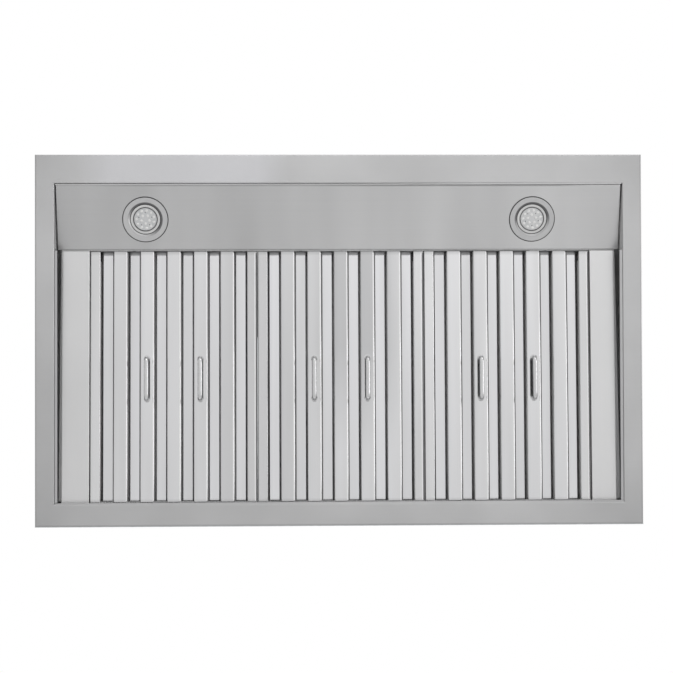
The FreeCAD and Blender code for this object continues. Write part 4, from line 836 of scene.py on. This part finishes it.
# %% [markdown]
# ## Lamp seals
# A thin black rubber ring seals each lens, another lies between the bezel and the panel, and a third sits in
# the bezel's throat. In the picture they show as dark circles. Each is a small circle spun about the lamp's
# axis. Rubber is matt, and paler than the moulded plastics. A seal is a radius, half its width, its height
# in the lamp's frame and its rubber.

# %% Lamp seals
lens_rubber = coated("lens_rubber", grey(0.11, 0.002), grey(0.15, 0.002), (0.6, 0.75), 1200.0, 0.2)
gasket_rubber = coated("gasket_rubber", grey(0.035, 0.001), grey(0.055, 0.001), (0.6, 0.75), 1200.0, 0.2)
SEALS = {"lens_seal_": (0.01785, 0.0006, -0.0009, lens_rubber),
         "bezel_gasket_": (0.03415, 0.0008, -0.0026, gasket_rubber),
         "throat_ring_": (0.0228, 0.0006, -0.0014, gasket_rubber)}


def turned_ring(radius, half_width, height):
    """A round ring about the lamp's axis."""
    shape = bmesh.new()
    section = Matrix.Translation((radius, 0, height)) @ Matrix.Rotation(math.pi / 2, 4, "X")
    bmesh.ops.create_circle(shape, segments=16, radius=half_width, matrix=section)
    bmesh.ops.spin(shape, geom=shape.verts[:] + shape.edges[:], cent=(0, 0, 0), axis=(0, 0, 1),
                   angle=2 * math.pi, steps=96, use_merge=True)
    turn_outwards(shape)
    return shape


for name, (radius, half_width, height, rubber) in SEALS.items():
    for side in SIDES:
        seal = add_piece(name + side, turned_ring(radius, half_width, height), lamp_frame(side), rubber)
        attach(seal, "hood")
        print(seal.name, len(seal.data.polygons), "faces")

# %% [markdown]
# ## Side rails
# Beside the filters an angle strip is welded into each side of the opening. The fillers rest on it, and the
# picture shows its lower leg as a narrow pale band inside the rim. A flat strip is folded up along its
# outer edge by extruding that edge, then the fold is rounded and the sheet gets its thickness.

# %% Side rails
RAIL_WALL = 0.4280
RAIL_LEG = 0.0042
RAIL_RISE = 0.011
RAIL_UNDERSIDE = 0.0004
RAIL_SHEET = 0.0008
RAIL_FOLD = 0.0009
RAIL_FRONT = -0.4145
RAIL_REAR = -0.0368

rail_steel = metal("rail_steel", grey(0.44, 0.005), grey(0.54, 0.005), (0.30, 0.42),
                   ALONG_Y, (5.0, 5.0, 5.0))


def angle_strip(way):
    """An angle strip along Y: its flat leg points to the middle, its other leg stands at the wall."""
    shape = bmesh.new()
    stretch = Matrix.Diagonal((RAIL_LEG / 2, (RAIL_REAR - RAIL_FRONT) / 2, 1.0, 1.0))
    across = RAIL_WALL - RAIL_LEG / 2
    middle = Matrix.Translation((way * across, (RAIL_FRONT + RAIL_REAR) / 2, RAIL_UNDERSIDE))
    bmesh.ops.create_grid(shape, x_segments=1, y_segments=1, size=1.0, matrix=middle @ stretch)
    outer = [edge for edge in shape.edges if all(abs(vert.co.x) > across for vert in edge.verts)]
    grown = bmesh.ops.extrude_edge_only(shape, edges=outer)
    top = new_verts(grown)
    bmesh.ops.translate(shape, verts=top, vec=(0, 0, RAIL_RISE))
    bmesh.ops.bevel(shape, geom=outer, offset=RAIL_FOLD, segments=4, profile=0.5, affect="EDGES", material=-1)
    turn_outwards(shape)
    thicken(shape, RAIL_SHEET)
    return shape


for side, way in SIDES.items():
    rail = add_piece("side_rail_" + side, angle_strip(way), Matrix(), rail_steel)
    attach(rail, "hood")
    print(rail.name, len(rail.data.polygons), "faces")

# %% [markdown]
# ## Shadow beads, bright hems and front lips
# Each lower strip has a small round bead on its right side. Its steel is painted almost black, as painted
# shade for the thin dark line at the strips' right edges in the picture. The white line beside it is a hem
# whose steel is painted near white, a painted highlight. The right edge of each filter has both too. At
# the front a short lip leads from the filter's frame up to each upper strip and closes the gap there, with
# painted shadow that is darkest at its low end. A bead or a hem is a circle that is extruded along the
# strip. A lip is a slanted grid with a thickness.

# %% Shadow beads, bright hems and front lips
STRIP_PITCH = 0.04035
STRIP_HALF = 0.0102
LOWER_STRIPS = range(-2, 3)
UPPER_STRIPS = range(-3, 3)
BEAD_RADIUS = 0.0012
BEAD_HEIGHT = 0.0030
HEM_RADIUS = 0.0013
HEM_INSET = 0.0007
HEM_HEIGHT = 0.00095
FILTER_EDGE = 0.1262
EDGE_BEAD_HEIGHT = 0.0004
BEAD_FRONT = -0.3790
BEAD_REAR = -0.0035
LIP_WIDTH = 0.0192
LIP_FRONT = -0.3805
LIP_BACK = -0.3770
LIP_LOW = 0.0014
LIP_HIGH = 0.0174
LIP_SHEET = 0.0005
LIP_SHADE = 0.95
FILTERS = ("left", "centre", "right")

# Painted shade: the bead's steel is near black, for the shadow line at a strip's edge.
bead_steel = metal("bead_steel", grey(0.16, 0.002), grey(0.24, 0.003), (0.35, 0.5),
                   ALONG_Y, (20.0, 4.0, 20.0))
# Painted highlight: the hem's steel is near white, for the bright line along a strip's bend.
hem_steel = metal("hem_steel", grey(0.90, 0.002), grey(0.97, 0.002), (0.08, 0.14),
                  ALONG_Y, (20.0, 2.0, 20.0), bump=0.01)
lip_steel = metal("lip_steel", grey(0.60, 0.002), grey(0.70, 0.005), (0.24, 0.34),
                  ALONG_X, (20.0, 20.0, 20.0))

# Painted shadow: each lip is darkest at its low end, under the panel's edge.
lip_height = own_axes(lip_steel, FILTER_PIVOT, FILTER_SLANT)["Z"]
tint(lip_steel, fade(lip_steel, lip_height, LIP_LOW, LIP_HIGH, LIP_SHADE, 0.0), PAINTED_SHADOW_GREY)


def filter_frame(name):
    """The frame of a filter: its origin on the tilt axis, its Y along the strips."""
    low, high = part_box("filter_" + name + "_frame")
    place = Vector(FILTER_PIVOT) + Vector(((low.x + high.x) / 2, 0, 0))
    return Matrix.Translation(place) @ Matrix.Rotation(FILTER_SLANT, 4, "X")


def round_bar(shape, across, height, radius, material_index):
    """A round bar along a strip, with softened ends."""
    start = Matrix.Translation((across, BEAD_REAR, height)) @ Matrix.Rotation(math.pi / 2, 4, "X")
    ring = bmesh.ops.create_circle(shape, cap_ends=True, segments=20, radius=radius, matrix=start)
    end_face = ring["verts"][0].link_faces[:]
    grown = bmesh.ops.extrude_face_region(shape, geom=end_face)
    tip = new_verts(grown)
    bmesh.ops.translate(shape, verts=tip, vec=(0, BEAD_FRONT - BEAD_REAR, 0))
    paint({"verts": tip}, material_index)
    rim = list({edge for vert in tip for edge in vert.link_edges if edge.other_vert(vert) in tip})
    bmesh.ops.bevel(shape, geom=rim, offset=radius / 2, segments=2, profile=0.5, affect="EDGES", material=-1)


def bead_row():
    """A hem painted with a highlight and a bead painted with shade, along the right side of each lower strip
    and of the filter.
    """
    shape = bmesh.new()
    for index in LOWER_STRIPS:
        edge = index * STRIP_PITCH + STRIP_HALF
        round_bar(shape, edge + BEAD_RADIUS, BEAD_HEIGHT, BEAD_RADIUS, 0)
        round_bar(shape, edge - HEM_INSET, HEM_HEIGHT, HEM_RADIUS, 1)
    round_bar(shape, FILTER_EDGE - BEAD_RADIUS, EDGE_BEAD_HEIGHT, BEAD_RADIUS, 0)
    round_bar(shape, FILTER_EDGE - 2 * BEAD_RADIUS - HEM_INSET, HEM_HEIGHT, HEM_RADIUS, 1)
    turn_outwards(shape)
    return shape


def lip_row():
    """A short slanted lip in front of each upper strip."""
    shape = bmesh.new()
    run = LIP_BACK - LIP_FRONT
    rise = LIP_HIGH - LIP_LOW
    slope = math.atan2(rise, run)
    stretch = Matrix.Diagonal((LIP_WIDTH / 2, math.hypot(run, rise) / 2, 1.0, 1.0))
    for index in UPPER_STRIPS:
        across = (index + 0.5) * STRIP_PITCH
        middle = Matrix.Translation((across, (LIP_FRONT + LIP_BACK) / 2, (LIP_LOW + LIP_HIGH) / 2))
        bmesh.ops.create_grid(shape, x_segments=1, y_segments=2, size=1.0,
                              matrix=middle @ Matrix.Rotation(slope, 4, "X") @ stretch)
    thicken(shape, LIP_SHEET)
    return shape


for name in FILTERS:
    rows = (("drip_beads_", bead_row(), (bead_steel, hem_steel)), ("front_lips_", lip_row(), (lip_steel,)))
    for label, shape, finishes in rows:
        piece = add_piece(label + name, shape, filter_frame(name), *finishes)
        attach(piece, "filter_" + name)
        print(piece.name, len(piece.data.polygons), "faces")

# %% [markdown]
# ## Filler rolls
# The outer edge of each side filler is rolled up and away from the filter. It gets wider towards the wall,
# so the dark gap beside the side rail tapers, as it does in the picture. An edge along the filler is
# extruded outwards in short steps that turn upwards.

# %% Filler rolls
ROLL_START = 0.4204
ROLL_STEPS = ((0.5, 0.0001), (0.3, 0.0003), (0.2, 0.0006))
ROLL_SHEET = 0.0004


def rolled_edge(way, rear_width):
    """A sheet that starts at the filler's outer edge and turns up, wider at the rear."""
    shape = bmesh.new()
    pivot_y = FILTER_PIVOT[1]
    front = shape.verts.new((way * ROLL_START, ROLL_FRONT - pivot_y, 0))
    rear = shape.verts.new((way * ROLL_START, ROLL_REAR - pivot_y, 0))
    edges = [shape.edges.new((front, rear))]
    for share, rise in ROLL_STEPS:
        grown = bmesh.ops.extrude_edge_only(shape, edges=edges)
        edges = [item for item in grown["geom"] if isinstance(item, bmesh.types.BMEdge)]
        for vert in {vert for edge in edges for vert in edge.verts}:
            at_rear = vert.co.y > (ROLL_FRONT + ROLL_REAR) / 2 - pivot_y
            width = FILLER_EDGE - ROLL_START + rear_width * at_rear
            vert.co += Vector((way * width * share, 0, rise))
    turn_outwards(shape)
    thicken(shape, ROLL_SHEET)
    return shape


filler_place = Matrix.Translation(FILTER_PIVOT) @ Matrix.Rotation(FILTER_SLANT, 4, "X")
for side, way in SIDES.items():
    shape = rolled_edge(way, ROLL_WIDTH[side])
    roll = add_piece("filler_roll_" + side, shape, filler_place, filler_steel[side])
    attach(roll, "hood")
    print(roll.name, len(roll.data.polygons), "faces")

# %% [markdown]
# ## Strips round the opening
# A grey seal closes the gap between the light panel and the filters. A thin trim lies on the rear ledge,
# a little deeper on the right, and pale liners stand beside the panel's ends. A narrow strip bridges the
# seam between the rim and the panel, and slants forward to the right, as the picture shows. Each starts as
# a grid of one or two faces, whose corners are moved to follow the ledge, the seam and the panel's slope.

# %% Strips round the opening
SEAL_HALF = 0.4200
SEAL_FRONT = -0.4169
SEAL_REAR = -0.4156
SEAL_HEIGHT = 0.0266
STRIP_SHEET = 0.0005
TRIM_HALF = 0.4278
TRIM_REAR = -0.0325
TRIM_FRONT = {-1: -0.0359, 1: -0.0366}
TRIM_HEIGHT = 0.0007
SEAM_HALF = 0.4270
SEAM_FRONT = {-1: -0.5145, 0: -0.5146, 1: -0.5165}
SEAM_MIDDLE = -0.5136
SEAM_REAR = {-1: -0.5127, 0: -0.5133, 1: -0.5139}
SEAM_HEIGHT = 0.00053
LINER_WALL = 0.4279
LINER_FRONT = -0.5090
LINER_REAR = -0.4170
LINER_LOW = 0.0006
LINER_GAP = 0.0050
LINER_LEAST = 0.0005
CORNER_REACH = 0.001
LINER_HALF = 0.01

seal_grey = coated("seal_grey", grey(0.40), grey(0.48), (0.6, 0.7), 900.0, 0.1)
liner_grey = coated("liner_grey", grey(0.40, 0.002), grey(0.46, 0.002), (0.4, 0.5), 900.0, 0.1)


def one_sheet(place, thickness, corner_move=None, faces=1):
    """A sheet of one face or a few in a place, with its corners moved, and its thickness."""
    shape = bmesh.new()
    bmesh.ops.create_grid(shape, x_segments=faces, y_segments=1, size=1.0, matrix=place)
    if corner_move:
        for vert in shape.verts:
            corner_move(vert)
    thicken(shape, thickness)
    return shape


def flat_place(half_x, front, rear, height):
    """Puts a grid of size 1 flat between two y values."""
    stretch = Matrix.Diagonal((half_x, (rear - front) / 2, 1.0, 1.0))
    return Matrix.Translation((0, (front + rear) / 2, height)) @ stretch


def follow_ledge(vert):
    """Moves the trim's front corners to their own depths."""
    if vert.co.y < TRIM_REAR - CORNER_REACH:
        vert.co.y = TRIM_FRONT[1 if vert.co.x > 0 else -1]


def follow_seam(vert):
    """Moves the seam strip's corners, further to the front on the right."""
    depths = SEAM_FRONT if vert.co.y < SEAM_MIDDLE else SEAM_REAR
    vert.co.y = depths[round(vert.co.x / SEAM_HALF)]


def follow_panel(vert):
    """Moves the liner's upper corners just under the panel."""
    if vert.co.z > LINER_LOW + CORNER_REACH:
        share = (vert.co.y - LINER_FRONT) / (LINER_REAR - LINER_FRONT)
        vert.co.z = LINER_LOW + max(share * PANEL_RISE - LINER_GAP, LINER_LEAST)


seal_place = flat_place(SEAL_HALF, SEAL_FRONT, SEAL_REAR, SEAL_HEIGHT)
trim_place = flat_place(TRIM_HALF, TRIM_FRONT[-1], TRIM_REAR, TRIM_HEIGHT)
seam_place = flat_place(SEAM_HALF, SEAM_FRONT[-1], SEAM_REAR[-1], SEAM_HEIGHT)
panel_seal = one_sheet(seal_place, STRIP_SHEET)
rear_trim = one_sheet(trim_place, STRIP_SHEET, follow_ledge)
seam_strip = one_sheet(seam_place, STRIP_SHEET, follow_seam, faces=2)
strips = [("panel_seal", panel_seal, seal_grey, "black_plastic"),
          ("seam_strip", seam_strip, rim_steel, "brushed_steel"),
          ("rear_trim", rear_trim, rim_steel, "brushed_steel")]
for side, way in SIDES.items():
    middle = Matrix.Translation((way * LINER_WALL, (LINER_FRONT + LINER_REAR) / 2, LINER_LOW + LINER_HALF))
    upright = middle @ Matrix.Rotation(math.pi / 2, 4, "Y")
    upright = upright @ Matrix.Diagonal((LINER_HALF, (LINER_REAR - LINER_FRONT) / 2, 1.0, 1.0))
    liner = one_sheet(upright, STRIP_SHEET / 2, follow_panel)
    strips.append(("wall_liner_" + side, liner, liner_grey, "brushed_steel"))
for name, shape, finish, slot_name in strips:
    strip = add_piece(name, shape, Matrix(), finish)
    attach(strip, "hood")
    print(strip.name, len(strip.data.polygons), "faces")

# %% [markdown]
# ## Button rings
# A switch of this kind is held by a thin ring on the front lip. Each ring is a small circle spun about the
# button's axis, which points to the front, with a dark rubber ring in the gap behind it.

# %% Button rings
BUTTON_NAMES = ("power", "low", "medium", "high", "light")
HOOD_FRONT = -0.5588
RING_RADIUS = 0.0093
RING_HALF = 0.0006
GAP_RADIUS = 0.0084
GAP_HALF = 0.00035


def ring_row(radius, half_width):
    """One ring round each button, all in one mesh."""
    shape = bmesh.new()
    for name in BUTTON_NAMES:
        low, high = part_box("button_" + name)
        ring = turned_ring(radius, half_width, 0.0)
        spot = Matrix.Translation(((low.x + high.x) / 2, HOOD_FRONT, (low.z + high.z) / 2))
        bmesh.ops.transform(ring, matrix=spot @ Matrix.Rotation(math.pi / 2, 4, "X"), verts=ring.verts)
        part = bpy.data.meshes.new("one_ring")
        ring.to_mesh(part)
        ring.free()
        shape.from_mesh(part)
        bpy.data.meshes.remove(part)
    return shape


for name, radius, half_width, finish, slot_name in (
        ("button_rings", RING_RADIUS, RING_HALF, button_steel, "button_steel"),
        ("button_gap_seals", GAP_RADIUS, GAP_HALF, gasket_rubber, "black_plastic")):
    rings = add_piece(name, ring_row(radius, half_width), Matrix(), finish)
    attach(rings, "hood")
    print(rings.name, len(rings.data.polygons), "faces")
